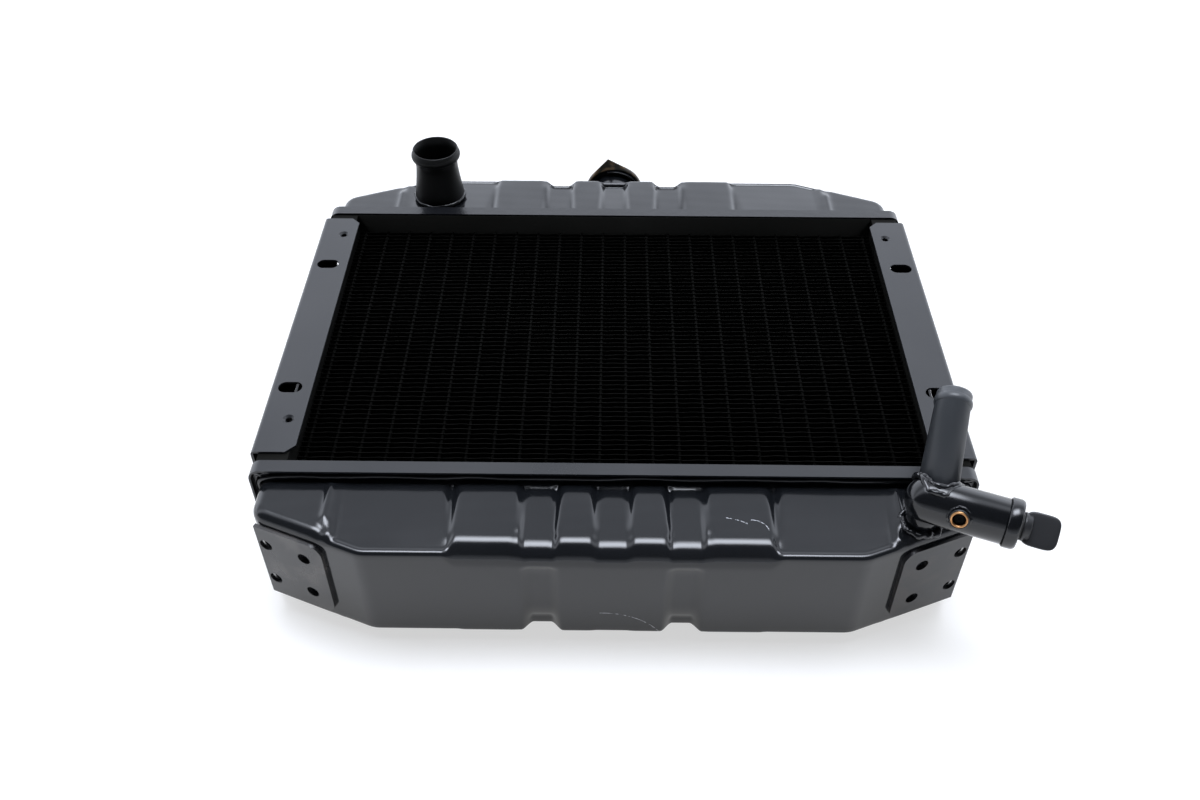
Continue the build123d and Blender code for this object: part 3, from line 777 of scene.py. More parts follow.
@dataclass
class Tank(SubAssembly):
    """A pressed tank: ribs and panels in its faces, a deep bend, and folded corners."""

    side: Side = Side.BOTTOM
    half_width: float = 261.0
    mouth: float = 159.9
    end: float = 235.0
    front: float = -10.0
    back: float = -105.0
    chamfer_wide: float = 83.0
    chamfer_run: float = 34.0
    side_corner: float = 16.0
    fold_radius: float = 26.0
    channel_depth: float = 7.2
    collar: float = 11.0
    wall: float = 1.2
    back_bend: float = 5.0
    top_bend: float = 4.5
    tight_bend: float = 6.5
    wider_bend: float = 10.0
    fold_line: float = 117.0
    panel_edge: float = 198.5
    crease: float = 206.0
    channel: tuple = (40.5, 64.5)
    end_channel: tuple = (41.0, 63.0)
    channel_floor: tuple = (43.5, 60.5)
    middle: float = 11.5
    mouth_inset: float = 7.0
    sway_height: float = 0.12
    sway_wave: float = 90.0
    solder_half: tuple = (262.6, 49.2)
    solder_middle: float = -57.5
    solder_rise: float = 166.3
    solder_radius: float = 1.9
    lump: tuple = (259.0, 166.0, -5.0)
    lump_size: tuple = (7.0, 2.8, 2.8)

    def outline(self) -> tuple:
        """The plan outline from the mouth at -X round to the mouth at +X.

        It is straight sides, a corner arc, the chamfer, a fold arc and the end line. Its points
        are (x, y), and its normals point out of the tank.

        Returns:
            Points and normals.
        """
        turn = math.pi / 2 - math.atan2(self.chamfer_run, self.chamfer_wide)
        side_y = self.end - self.chamfer_run - self.side_corner * math.tan(turn / 2)
        fold_x = self.half_width - self.chamfer_wide
        fold_cut = self.fold_radius * math.tan((math.pi / 2 - turn) / 2)
        y_side = np.linspace(self.mouth, side_y, 9)[:-1]
        side_points = np.stack([np.full_like(y_side, self.half_width), y_side], 1)
        side_normals = np.tile([1.0, 0.0], (len(y_side), 1))
        a = np.linspace(0, turn, 15)
        corner_normals = np.stack([np.cos(a), np.sin(a)], 1)
        corner = np.array([self.half_width - self.side_corner, side_y])
        corner_points = corner + self.side_corner * corner_normals
        b = np.linspace(turn, math.pi / 2, 12)
        fold_normals = np.stack([np.cos(b), np.sin(b)], 1)
        fold = np.array([fold_x - fold_cut, self.end - self.fold_radius])
        fold_points = fold + self.fold_radius * fold_normals
        t = np.linspace(0, 1, 44)[1:-1, None]
        chamfer_points = corner_points[-1] * (1 - t) + fold_points[0] * t
        chamfer_normals = np.tile(corner_normals[-1], (len(t), 1))
        x_end = np.linspace(fold_points[-1, 0], 0, 170)[1:]
        end_points = np.stack([x_end, np.full_like(x_end, self.end)], 1)
        end_normals = np.tile([0.0, 1.0], (len(x_end), 1))
        points = np.concatenate([side_points, corner_points, chamfer_points, fold_points, end_points])
        normals = np.concatenate([side_normals, corner_normals, chamfer_normals, fold_normals, end_normals])
        flip = np.array([-1.0, 1.0])
        points = np.concatenate([points * flip, points[-2::-1]])
        normals = np.concatenate([normals * flip, normals[-2::-1]])
        return points, normals

    def bend_radius(self, x: np.ndarray) -> np.ndarray:
        """Radius of the bend between front face and end.

        The bottom tank's is wide between the outer panels and tight along them. The top tank's
        is tight all along.
        """
        size = np.abs(x)
        ends = smooth_step(size, self.crease - 10.0, self.crease)
        if self.side is Side.TOP:
            return self.top_bend + 1.5 * ends
        wide = 1 - smooth_step(size, 110.0, 120.0)
        return self.tight_bend + self.wider_bend * wide + 2.0 * ends

    def face_depth(self, x: np.ndarray, run: np.ndarray, reach: np.ndarray) -> np.ndarray:
        """How far the front face is pressed in.

        It sums panels that sink towards the bend, each a band across X, V-shaped valleys
        between them that fade from the collar towards the bend, a small bowl at each valley's
        foot, and a raised crease with a dent at its foot beyond the outer panels.

        Args:
            x: place across the tank.
            run: distance from the mouth.
            reach: share of the way from the mouth to the bend, 0 to 1.

        Returns:
            Depth below the collar's face.
        """
        size = np.abs(x)
        fold = self.fold_line - 2.5 * reach
        past = smooth_step(run, self.collar - 2.5, self.collar + 3.0)
        channels = band(size, *self.channel, 5.5) * (2.6 + 0.9 * reach)
        sink = 3.0 if self.side is Side.TOP else 0.3
        middle = band(size, -99.0, self.middle, 7.5) * (2.6 + sink * reach)
        panel = band(size, fold, self.panel_edge, 7.0) * (0.1 + 3.0 * reach)
        depth = 1.5 * (1 - past) + past * (panel + channels + middle)
        fade = smooth_step(run, 6.0, 15.0) * np.clip(1.05 - 1.2 * reach, 0, 1) ** 1.2
        foot = hump(reach, 1.0, 0.09)
        # Each valley: its centre, width and depth.
        for centre, width, deep in (
            (fold + 1.0, 4.0, 4.6),
            (65.5 + 2.0 * reach, 3.0, 4.0),
            (40.3, 3.0, 3.8),
            (12.3, 3.0, 3.8),
        ):
            depth = depth + fade * deep * hump(size, centre, width * (1.1 - 0.5 * reach))
            depth = depth + 0.8 * foot * hump(size, centre, 3.4)
        crease = hump(size, self.crease, 3.2) * smooth_step(run, 10.0, 13.0)
        depth = depth - 2.2 * crease * (1 - smooth_step(reach, 0.8, 0.97))
        return depth + 1.0 * hump(size, self.crease, 3.5) * hump(reach, 1.0, 0.05)

    def end_depth(self, x: np.ndarray, height: np.ndarray) -> np.ndarray:
        """How far the end face is pressed in: two upright channels, each with a dent near its ends.

        The top tank's channels are even. The bottom tank's deepen in two steps from the front
        face to the back face.

        Args:
            x: place across the tank.
            height: share of the way from the front face to the back face.

        Returns:
            Depth inwards from the end face.
        """
        size = np.abs(x)
        top = self.side is Side.TOP
        start, middle = (1.0, 1.0) if top else (0.12, 0.5)
        grow = start + (middle - start) * smooth_step(height, 0.02, 0.3)
        grow = grow + (1 - middle) * smooth_step(height, 0.68, 0.97)
        dents = hump(height, 0.12, 0.03) + hump(height, 0.86, 0.03)
        floor = band(size, *self.channel_floor, 4.0) * 0.8 * dents
        return band(size, *self.end_channel, 9.5) * self.channel_depth * grow + floor

    def sway(self, x: np.ndarray, y: np.ndarray) -> np.ndarray:
        """The faces' slow unevenness, in millimetres outwards."""
        return self.sway_height * ripple(x, y, self.sway_wave, 3)

    def face_rows(
        self, face_z: float, turn: float, points: np.ndarray, normals: np.ndarray, radius: np.ndarray
    ) -> list:
        """Rows of points over one face, from the mouth to the end of its bend.

        On the face a point is the plain face's point moved in by the depth. Round the bend it is
        P + N r sin(a), with z falling by r (1 - cos(a)), moved in along the bend's own normal.

        Args:
            face_z: height of the face.
            turn: 1 for the front face and -1 for the back face.
            points: the outline.
            normals: its outward normals.
            radius: the bend's radius at each point.

        Returns:
            One array of points for each row.
        """
        inset = self.end_depth(points[:, 0], np.full_like(radius, 0.0 if turn > 0 else 1.0))
        inner = points - normals * (radius + inset)[:, None]
        facing = inner[:, 0].copy()
        past = np.abs(points[:, 0]) > self.crease - 1.0
        for sign in (-1, 1):
            pick = past & (np.sign(points[:, 0]) == sign)
            length = np.cumsum(np.linalg.norm(np.diff(inner[pick], axis=0), axis=1))
            share = np.concatenate([[0], length / length[-1]])
            if sign < 0:
                share = 1 - share
            start = np.abs(inner[pick, 0])[-1 if sign < 0 else 0]
            facing[pick] = sign * (start + (self.half_width - self.mouth_inset - start) * share)
        mouth = np.stack([facing, np.full_like(facing, self.mouth)], 1)
        rows = []
        for step in np.linspace(0, 1, 34)[:-1]:
            place = mouth * (1 - step) + inner * step
            x, y = place[:, 0], place[:, 1]
            depth = self.face_depth(x, y - self.mouth, np.full_like(x, step))
            depth = depth - self.sway(x, y)
            rows.append(np.stack([x, y, face_z - turn * depth], 1))
        last = self.face_depth(inner[:, 0], inner[:, 1] - self.mouth, np.ones_like(radius))
        sway = self.sway(points[:, 0], inner[:, 1])
        for angle in np.linspace(0, math.pi / 2, 13):
            lean, upright = math.sin(angle), math.cos(angle)
            share = lean * lean
            depth = (last - sway) * (1 - share)
            place = inner + normals * ((radius - depth) * lean)[:, None]
            height = face_z - turn * (radius * (1 - upright) + depth * upright)
            rows.append(np.concatenate([place, height[:, None]], 1))
        return rows

    def skin(self) -> np.ndarray:
        """The pressing's outer surface.

        Rows of the grid follow the outline. Columns run from the mouth over the front face,
        round its bend, down the end, round the second bend and over the back face to the mouth.

        Returns:
            A grid of points.
        """
        points, normals = self.outline()
        x = points[:, 0]
        radius = self.bend_radius(x)
        back_radius = np.full_like(radius, self.back_bend)
        front = self.face_rows(self.front, 1.0, points, normals, radius)
        back = self.face_rows(self.back, -1.0, points, normals, back_radius)
        wall = []
        for share in np.linspace(0, 1, 26)[1:-1]:
            height = (self.front - radius) * (1 - share) + (self.back + back_radius) * share
            part = (self.front - height) / (self.front - self.back)
            depth = np.maximum(self.end_depth(x, part) - 0.1 * ripple(x, height, 80.0, 5), 0.02)
            wall.append(np.concatenate([points - normals * depth[:, None], height[:, None]], 1))
        grid = np.stack(front + wall + back[::-1], 1)
        grid[..., 1] = np.minimum(grid[..., 1], self.end - 0.02)
        grid[..., 1] *= self.side.value
        return grid

    def build(self) -> None:
        """Makes the tank as a closed shell of sheet metal."""
        name = "bottom_tank" if self.side is Side.BOTTOM else "top_tank"
        piece = surface(f"{name}_pressing", self.skin(), flip=self.side is Side.BOTTOM)
        thick = piece.modifiers.new("sheet", "SOLIDIFY")
        thick.thickness = self.wall * MM
        thick.offset = -1.0
        self.finish_piece(piece, Look.TANK, "tank_paint", (name,))
        self.build_solder(name)

    def build_solder(self, name: str) -> None:
        """Lays the wavy solder between header and tank, with a lump at each front corner.

        The path is a rectangle with rounded corners in X and Z: a superellipse of power 24.

        Args:
            name: the tank's name.
        """
        angle, power = full_turn(900), 2 / 24
        half_x, half_z = self.solder_half
        x = half_x * signed_power(np.cos(angle), power)
        z = self.solder_middle + half_z * signed_power(np.sin(angle), power)
        steps = np.linalg.norm(np.diff(np.stack([x, z], 1), axis=0, append=[[x[0], z[0]]]), axis=1)
        along = np.concatenate([[0], np.cumsum(steps)])
        even = np.linspace(0, along[-1], 900, endpoint=False)
        x, z = np.interp(even, along, np.append(x, x[0])), np.interp(even, along, np.append(z, z[0]))
        rise = self.solder_rise + 0.7 * ripple(x, z, 60.0, 51)
        path = np.stack([x, self.side.value * rise, z], 1)
        pieces = [closed("fillet", bead(path, self.solder_radius, 0.3, 52, 8))]
        for sign in (-1, 1):
            centre = (sign * self.lump[0], self.side.value * self.lump[1], self.lump[2])
            pieces.append(surface("lump", blob(centre, self.lump_size, 53 + sign), close_columns=True))
        self.finish_piece(join(f"{name}_solder", pieces), Look.SOLDER, "solder")


# Core ---------------------------------------------------------------------------------------


@dataclass
class Core(SubAssembly):
    """The stack of plate fins, and the flat tubes that pass through it."""

    half_width: float = 240.4
    reach: float = 155.5
    front: float = -18.0
    back: float = -97.0
    pitch: float = 5.2
    thick: float = 0.32
    wave: float = 0.28
    tube_pitch: float = 20.4
    seed: int = 11
    lean_spread: float = 0.12
    sway_height: float = 0.25
    # Where the two thin black sheets stand that paint shade over the header plates' inner faces.
    shade_sheet_low: float = 157.3
    shade_sheet_high: float = 158.2
    shade_sheet_front: float = -1.5
    shade_sheet_back: float = -113.5
    tubes: int = 24
    tube_half: tuple = (1.3, 1.4)
    tube_front: float = -20.3
    tube_reach: float = 156.5

    def fins(self) -> list:
        """Thin plates square to Y: place (x, y + wave * sin(2 pi x / tube pitch), z).

        Each fin's phase and lean vary a little, as they do in a hand-handled core.

        Returns:
            A grid for each fin: four corners of the section by steps along X.
        """
        count = int(2 * self.reach / self.pitch) + 1
        random = np.random.default_rng(self.seed)
        x = np.linspace(-self.half_width, self.half_width, 190)
        grids = []
        for number in range(count):
            middle = (number - (count - 1) / 2) * self.pitch
            lean = random.normal(0, self.lean_spread)
            sway = self.sway_height * ripple(x, np.full_like(x, middle * 3), 160.0, 21)
            phase = random.uniform(0, 1)
            y = middle + self.wave * np.sin(2 * math.pi * x / self.tube_pitch + phase) + sway
            half = self.thick / 2
            corners = []
            for offset, z, tilt in (
                (half, self.front, lean),
                (-half, self.front, lean),
                (-half, self.back, 0.0),
                (half, self.back, 0.0),
            ):
                corners.append(np.stack([x, y + offset + tilt, np.full_like(x, z)], 1))
            grids.append(np.stack(corners, 1))
        return grids

    def build(self) -> None:
        """Makes the fin stack, two black sheets of painted shade and the tubes' front edges."""
        points, faces, start = [], [], 0
        for grid in self.fins():
            rows, columns = grid.shape[:2]
            faces += (grid_faces(rows, columns, False, True) + start).tolist()
            faces.append([start, start + 1, start + 2, start + 3])
            last = start + (rows - 1) * columns
            faces.append([last + 3, last + 2, last + 1, last])
            points.append(grid.reshape(-1, 3))
            start += rows * columns
        piece = put_mesh("fin_stack", np.concatenate(points), faces, smooth=False)
        self.finish_piece(piece, Look.CORE, "core_paint", ("core_fins",))
        # Two dull black sheets paint shade over the header plates' inner faces, in place of their grey
        # reflection.
        ends = []
        for low, high in ((-self.shade_sheet_high, -self.shade_sheet_low), (self.shade_sheet_low, self.shade_sheet_high)):
            near = (-self.half_width, low, self.shade_sheet_back)
            ends.append(box("end", near, (self.half_width, high, self.shade_sheet_front)))
        self.finish_piece(join("core_shade_sheets", ends), Look.CORE, "core_paint")
        self.build_tube_edges()

    def build_tube_edges(self) -> None:
        """Makes the tubes' rounded front edges, just behind the fins' edges, and dresses the tubes.

        Each is an upright ellipse in X and Z, (a cos t, b sin t), carried along Y.
        """
        turn, edges = full_turn(12), []
        half_x, half_z = self.tube_half
        for column in range(self.tubes):
            x = (column - (self.tubes - 1) / 2) * self.tube_pitch + half_x * np.cos(turn)
            z = self.tube_front + half_z * np.sin(turn)
            ends = (-self.tube_reach, self.tube_reach)
            rows = [np.stack([x, np.full_like(x, y), z], 1) for y in ends]
            edges.append(surface("edge", np.stack(rows), close_columns=True, cap_ends=True))
        self.finish_piece(join("tube_edges", edges), Look.TUBE_EDGE, "core_paint")
        self.wardrobe.dress_nodes(("core_tubes",), Look.TUBES)


# Hose necks ---------------------------------------------------------------------------------


@dataclass
class InletNeck(SubAssembly):
    """The inlet neck on the top tank: a drawn foot, a hose length, a rolled bead and a mouth."""

    origin: tuple = (-169.5, 205.4, -10.0)
    height: float = 52.0
    bore: float = 17.2
    hose_radius: float = 19.6
    base_radius: float = 23.6
    bead_radius: float = 23.0
    mouth_radius: float = 21.3
    spigot_radius: float = 19.5
    foot_low: float = 3.0
    foot_rise: float = 32.0
    bead_drop: float = 6.3
    bead_half: float = 3.4
    spigot: float = 5.0
    braze: tuple = (23.2, 1.6)

    def build(self) -> None:
        """Turns the neck and lays the braze round its foot."""
        axis = Axis3(self.origin)
        r, top, middle = self.hose_radius, self.height, self.height - self.bead_drop
        widen, swell = self.base_radius - r, self.bead_radius - r
        foot = [
            (r + widen * (1 - share) ** 1.3, self.foot_low + self.foot_rise * share)
            for share in np.linspace(0, 1, 9)
        ]
        roll = [
            (r + swell * math.sin(a) ** 0.7, middle - self.bead_half * math.cos(a))
            for a in np.linspace(0.1, math.pi - 0.45, 14)
        ]
        profile = (
            [(self.bore, -self.spigot), (self.spigot_radius, -self.spigot)]
            + [(self.spigot_radius, 0), (self.base_radius, 0)]
            + foot
            + roll
            + [(self.mouth_radius, top - 0.7), (self.mouth_radius - 0.6, top)]
            + [(self.mouth_radius - 1.2, top - 0.2), (self.bore + 1.0, top - 9), (self.bore, top - 20)]
        )
        self.turn_piece("inlet_hose_neck", axis, profile, Look.INLET, "neck_paint", ("inlet_neck",))
        braze = closed("inlet_braze", bead(axis.circle(*self.braze, 150), 1.5, 0.35, 31))
        self.finish_piece(braze, Look.WELD, "solder", ("inlet_ring",))


@dataclass
class Outlet(SubAssembly):
    """The outlet: a cross pipe on a foot, a hose neck brazed to its side, and a collar."""

    start: tuple = (219.4, -203.0, 14.0)
    angle: float = 21.0
    pipe_radius: float = 16.2
    pipe_wall: float = 1.55
    length: float = 62.0
    neck_along: float = 5.0
    neck_turn: float = 17.0
    neck_lean: float = 20.5
    neck_length: float = 86.6
    neck_base: float = 14.2
    neck_radius: float = 12.7
    neck_bore: float = 11.2
    neck_start: float = 8.0
    bead_drop: float = 8.0
    bead_half: float = 3.2
    bead_radius: float = 13.8
    collar_radius: float = 17.6
    collar_length: float = 9.0
    foot_radius: float = 12.0
    foot_bore: float = 10.5
    foot: float = 30.0
    bung_along: float = 22.5
    bung_tilt: float = 22.0
    foot_weld: tuple = (13.2, -9.4)
    boss_radius: float = 7.0
    boss_bore: float = 6.15
    sleeve_radius: float = 6.1
    sleeve_bore: float = 4.5

    def pipe_axis(self) -> Axis3:
        """The cross pipe's axis, from its foot towards the drain."""
        turn = math.radians(self.angle)
        return Axis3(self.start, (math.cos(turn), -math.sin(turn), 0), (0, 0, 1))

    def along_pipe(self, distance: float) -> np.ndarray:
        """The point on the pipe's axis at that distance from its start."""
        return np.array(self.start) + distance * np.array(self.pipe_axis().along)

    def neck_axis(self) -> Axis3:
        """The hose neck's axis, out of the pipe."""
        turn, lean = math.radians(self.neck_turn), math.radians(self.neck_lean)
        out = (math.sin(turn) * math.cos(lean), math.cos(turn) * math.cos(lean), math.sin(lean))
        return Axis3(tuple(self.along_pipe(self.neck_along)), out, (math.cos(turn), -math.sin(turn), 0))

    def bung_axis(self) -> Axis3:
        """The sensor bung's axis, out of the pipe's near side."""
        turn, tilt = math.radians(self.angle), math.radians(self.bung_tilt)
        out = (-math.sin(turn) * math.cos(tilt), -math.cos(turn) * math.cos(tilt), math.sin(tilt))
        return Axis3(tuple(self.along_pipe(self.bung_along)), out, self.pipe_axis().along)

    def pipe(self) -> np.ndarray:
        """The cross pipe: an outer skin that closes in a half ball at its start, and a bore."""
        r, inner, pole = self.pipe_radius, self.pipe_radius - self.pipe_wall, -math.pi / 2 + 0.02
        mouth = [(r, self.length - 0.6), (r - 0.6, self.length), (inner, self.length)]
        return lathe(self.pipe_axis(), arc(r, pole, 0, 14) + mouth + arc(inner, 0, pole, 14))

    def build_neck(self) -> None:
        """Makes the hose neck: a slightly tapered tube with a rolled bead near its mouth."""
        r, mid = self.neck_radius, self.neck_length - self.bead_drop
        roll = [
            (r + (self.bead_radius - r) * math.cos(a) ** 1.5, mid + self.bead_half * math.sin(a))
            for a in np.linspace(-math.pi / 2, math.pi / 2, 13)
        ]
        profile = (
            [(self.neck_bore, self.neck_start), (self.neck_base, self.neck_start)]
            + roll
            + [(r + 0.1, self.neck_length - 1.2), (r - 0.5, self.neck_length)]
            + [(self.neck_bore, self.neck_length - 0.6)]
        )
        self.turn_piece(
            "outlet_hose_neck", self.neck_axis(), profile, Look.NECK, "neck_paint", ("outlet_neck",)
        )

    def saddle(self, axis: Axis3, radius: float, stand: float) -> np.ndarray:
        """Where a round stem leaves the pipe: a closed path on the pipe's skin.

        For each turn angle it solves |q - (q.d) d| = R for the distance along the stem.

        Args:
            axis: the stem's axis.
            radius: the stem's radius.
            stand: how far the path stands off the pipe's skin.

        Returns:
            Points of the path.
        """
        ring = axis.circle(radius, 0.0, 180)
        pipe = np.array(self.pipe_axis().along, float)
        out = np.array(axis.along, float)
        out_square = out - (out @ pipe) * pipe
        offset = ring - np.array(self.start)
        offset = offset - (offset @ pipe)[:, None] * pipe
        a, b = out_square @ out_square, offset @ out_square
        c = (offset * offset).sum(1) - (self.pipe_radius + stand) ** 2
        rise = (-b + np.sqrt(np.maximum(b * b - a * c, 0))) / a
        return ring + rise[:, None] * out

    def build_welds(self) -> None:
        """Lays the lumpy beads at the neck, the foot and the bung."""
        neck, bung = self.neck_axis(), self.bung_axis()
        foot_radius, foot_height = self.foot_weld
        foot = Axis3((self.start[0], self.start[1], foot_height))
        beads = (
            (self.saddle(neck, self.neck_base + 0.1, -0.9), 2.4, 0.35, 41),
            (self.saddle(neck, self.neck_base + 2.0, -1.5), 2.2, 0.4, 42),
            (foot.circle(foot_radius, 0.0, 150), 2.8, 0.4, 43),
            (self.saddle(bung, self.boss_radius + 0.6, -0.3), 1.0, 0.6, 44),
        )
        welds = [closed("weld", bead(*values)) for values in beads]
        self.finish_piece(join("outlet_welds", welds), Look.WELD, "pipe_paint")

    def build_bung(self) -> None:
        """Makes the sensor bung: a painted boss, a bare sleeve, and a black disc of painted shade in its
        hole.
        """
        axis, low, high = self.bung_axis(), self.pipe_radius - 2.0, self.pipe_radius + 2.5
        r, bore = self.boss_radius, self.boss_bore
        boss = [(bore, low), (r, low), (r, high - 0.9), (r - 0.3, high - 0.5), (bore, high - 0.4)]
        self.turn_piece("bung_boss", axis, boss, Look.PIPE, "pipe_paint", turns=64)
        r, bore = self.sleeve_radius, self.sleeve_bore
        sleeve = [(bore, low), (r, low), (r, high - 0.6), (r - 0.5, high)]
        sleeve += [(bore + 0.5, high), (bore, high - 0.5)]
        self.turn_piece("bung_sleeve", axis, sleeve, Look.BRASS, "brass", ("sensor_bung",), 64)
        # A matt black disc just under the sleeve's mouth paints the shade inside the bung's hole.
        r, high = self.sleeve_bore - 0.05, self.pipe_radius + 0.35
        shade_disc = [(0.01, high - 1.5), (r, high - 1.5), (r, high), (0.01, high)]
        self.turn_piece("bung_shade_disc", axis, shade_disc, Look.DARK, "pipe_paint", turns=48)

    def build(self) -> None:
        """Makes the pipe, the foot, the neck, the collar, the bung and the welds."""
        pipe = closed("cross_pipe", self.pipe())
        x, y, z = self.start
        stub_axis = Axis3((x, y, z - self.foot))
        r, inner = self.foot_radius, self.foot_bore
        stub_profile = [(inner, 0), (r, 0), (r, self.foot), (inner, self.foot)]
        stub = closed("pipe_foot", lathe(stub_axis, stub_profile, 64))
        self.finish_piece(join("cross_pipe", [pipe, stub]), Look.PIPE, "pipe_paint", ("outlet_pipe",))
        self.build_neck()
        r, low, high = self.collar_radius, self.length - self.collar_length, self.length
        skin = self.pipe_radius + 0.05
        collar_profile = [(skin, low), (r - 0.8, low), (r, low + 1.0), (r, high - 2.0)]
        collar_profile += [(r - 0.6, high - 0.8), (r - 1.2, high), (skin, high)]
        self.turn_piece(
            "pipe_collar", self.pipe_axis(), collar_profile, Look.PIPE, "pipe_paint", ("outlet_collar",)
        )
        self.build_bung()
        self.build_welds()


@dataclass
class Drain(SubAssembly):
    """The drain plug: a stepped head and a flat wing to turn it by."""

    body: str = "drain_plug"
    head_radius: float = 10.0
    head_low: float = 63.6
    head_length: float = 6.0
    spindle_radius: float = 6.0
    spindle_length: float = 15.0
    wing_long: float = 24.0
    wing_wide: float = 24.0
    wing_thick: float = 5.0
    wing_tilt: float = 50.0
    wing_gap: float = 0.4

    def wing(self, axis: Axis3) -> np.ndarray:
        """The wing: a rounded square plate with soft edges.

        It is a superellipsoid. With S(c, n) = sign(c) |c|^(2/n), the outline at ring angle a is
        (S(cos a, 4), S(sin a, 4)) times q, and the thickness is (1 - q^9)^(1/9), for q from the
        middle of one side out to the edge and back on the other side.

        Args:
            axis: the drain's axis.

        Returns:
            A grid of points, closed round its rows.
        """
        a = full_turn(96)[:, None]
        half = np.array([0.004, 0.4, 0.7, 0.85, 0.92, 0.96, 0.985, 0.997])
        q = np.concatenate([half, [1.0], half[::-1]])[None, :]
        side = np.concatenate([np.ones(8), [0.0], -np.ones(8)])[None, :]
        along = signed_power(np.cos(a), 0.5) * q * self.wing_long / 2
        across = signed_power(np.sin(a), 0.5) * q * self.wing_wide / 2
        thick = side * (1 - q**9) ** (1 / 9) * self.wing_thick / 2 + 0 * a
        tilt = math.radians(self.wing_tilt)
        up, out = math.sin(tilt), math.cos(tilt)
        middle = self.head_low + self.wing_gap + self.wing_long / 2
        return axis.place(thick * up + across * out, thick * out - across * up, middle + along)

    def build(self, axis: Axis3) -> None:
        """Makes the head, spindle and wing as one moulding.

        Args:
            axis: the cross pipe's axis.
        """
        r, low = self.head_radius, self.head_low
        high = low + self.head_length
        profile = [
            (0.01, low - self.spindle_length),
            (self.spindle_radius, low - self.spindle_length),
            (self.spindle_radius, low),
            (r - 0.6, low),
            (r, low + 0.6),
            (r, low + 2.2),
            (r - 1.0, low + 3.0),
            (r - 1.0, high - 1.0),
            (r - 2.2, high),
            (0.01, high),
        ]
        head = closed("head", lathe(axis, profile, 72))
        wing = surface("wing", self.wing(axis), close_rows=True)
        piece = join("drain_wing_plug", [head, wing])
        self.finish_piece(piece, Look.PLASTIC, "drain_plastic", ("drain_plug",))


@dataclass
class Cap(SubAssembly):
    """The pressure cap's shell: a skirt under a top sheet with two pointed ears."""

    body: str = "cap_shell"
    origin: tuple = (0.0, 235.0, -43.0)
    radius: float = 28.75
    gauge: float = 1.15
    reach: float = 36.75
    skirt: float = 25.3
    low: float = 31.5
    high: float = 32.7
    bore: float = 2.2
    skew: float = -10.0

    def build(self) -> None:
        """Makes the shell.

        Each ear is two straight edges from a point at T that touch the circle of radius R. With
        t = acos(R / T), the edge at angle b from the nearer point is at R / cos(max(t - b, 0)).
        """
        axis = Axis3(self.origin, (0, 1, 0), (0, 0, 1))
        a = full_turn(180)[None, :]
        turn = a - math.radians(self.skew)
        nearest = np.arccos(np.clip(np.abs(np.cos(turn)), 0, 1))
        touch = math.acos(self.radius / self.reach)
        edge = self.radius / np.cos(np.maximum(touch - nearest, 0))
        inner = self.radius - self.gauge
        rows = (
            (self.bore, self.low),
            (inner, self.low),
            (inner, self.skirt),
            (self.radius, self.skirt),
            (self.radius, self.low - 0.2),
            (edge, self.low),
            (edge, self.high - 0.4),
            (edge - 0.5, self.high),
            (self.bore, self.high),
        )
        radius = np.concatenate([reach + 0 * edge for reach, _ in rows])
        height = np.array([high for _, high in rows])[:, None] + 0 * a
        grid = axis.place(radius * np.cos(a), radius * np.sin(a), height)
        piece = closed("cap_with_ears", grid)
        self.finish_piece(piece, Look.CAP, "cap_steel", ("cap_shell",))


@dataclass
class ShadeSplices(SubAssembly):
    """Dull black plates in the angles' webs near the top tank, placed as splices of front and rear angles:
    painted shade in the upper slots.
    """

    low: tuple = (266.7, 108.0, -54.0)
    high: tuple = (267.7, 149.0, -27.0)

    def build(self) -> None:
        """Makes one plate on each side."""
        (x0, *low), (x1, *high) = self.low, self.high
        plates = [
            box("splice", (-x1, *low), (-x0, *high)),
            box("splice", self.low, self.high),
        ]
        # Dressed dull black so that the upper slots read as dark shade behind the flanges.
        self.finish_piece(join("angle_shade_plates", plates), Look.CORE, "angle_paint")


# Frame, plates, filler ----------------------------------------------------------------------


# Each row: a look, the rounding of the edges in millimetres, and the CAD nodes that wear it.
FRAME_LOOKS = (
    (Look.ANGLE, 0.35, ("front_angle_right", "front_angle_left", "rear_angle_right", "rear_angle_left")),
    (Look.CORE, 0.0, ("side_plate_right", "side_plate_left")),
    (Look.HEADER, 0.6, ("bottom_header_plate",)),
    (Look.SOLDER, 0.6, ("top_header_plate",)),
    (Look.SOLDER, 0.0, ("top_seam", "bottom_seam")),
    (Look.PLATE_RIGHT, 0.5, ("mount_plate_right",)),
    (Look.PLATE_LEFT, 0.5, ("mount_plate_left",)),
    (Look.BRASS, 0.0, ("cap_guide", "vacuum_valve")),
    (Look.PIPE, 0.0, ("drain_seat", "filler_neck", "overflow_tube")),
    (Look.RUBBER, 0.0, ("drain_washer", "valve_seal")),
    (Look.CAP, 0.0, ("cap_disc_spring", "pressure_valve", "cap_rivet")),
    (Look.SPRING, 0.0, ("cap_spring", "vacuum_spring")),
)


def dress_frame(wardrobe: Wardrobe) -> None:
    """Dresses the CAD nodes whose shape stays, and rounds the edges of some.

    Args:
        wardrobe: the materials.
    """
    for look, rounding, names in FRAME_LOOKS:
        wardrobe.dress_nodes(names, look)
        if rounding:
            soften(names, rounding)


# Studio -------------------------------------------------------------------------------------


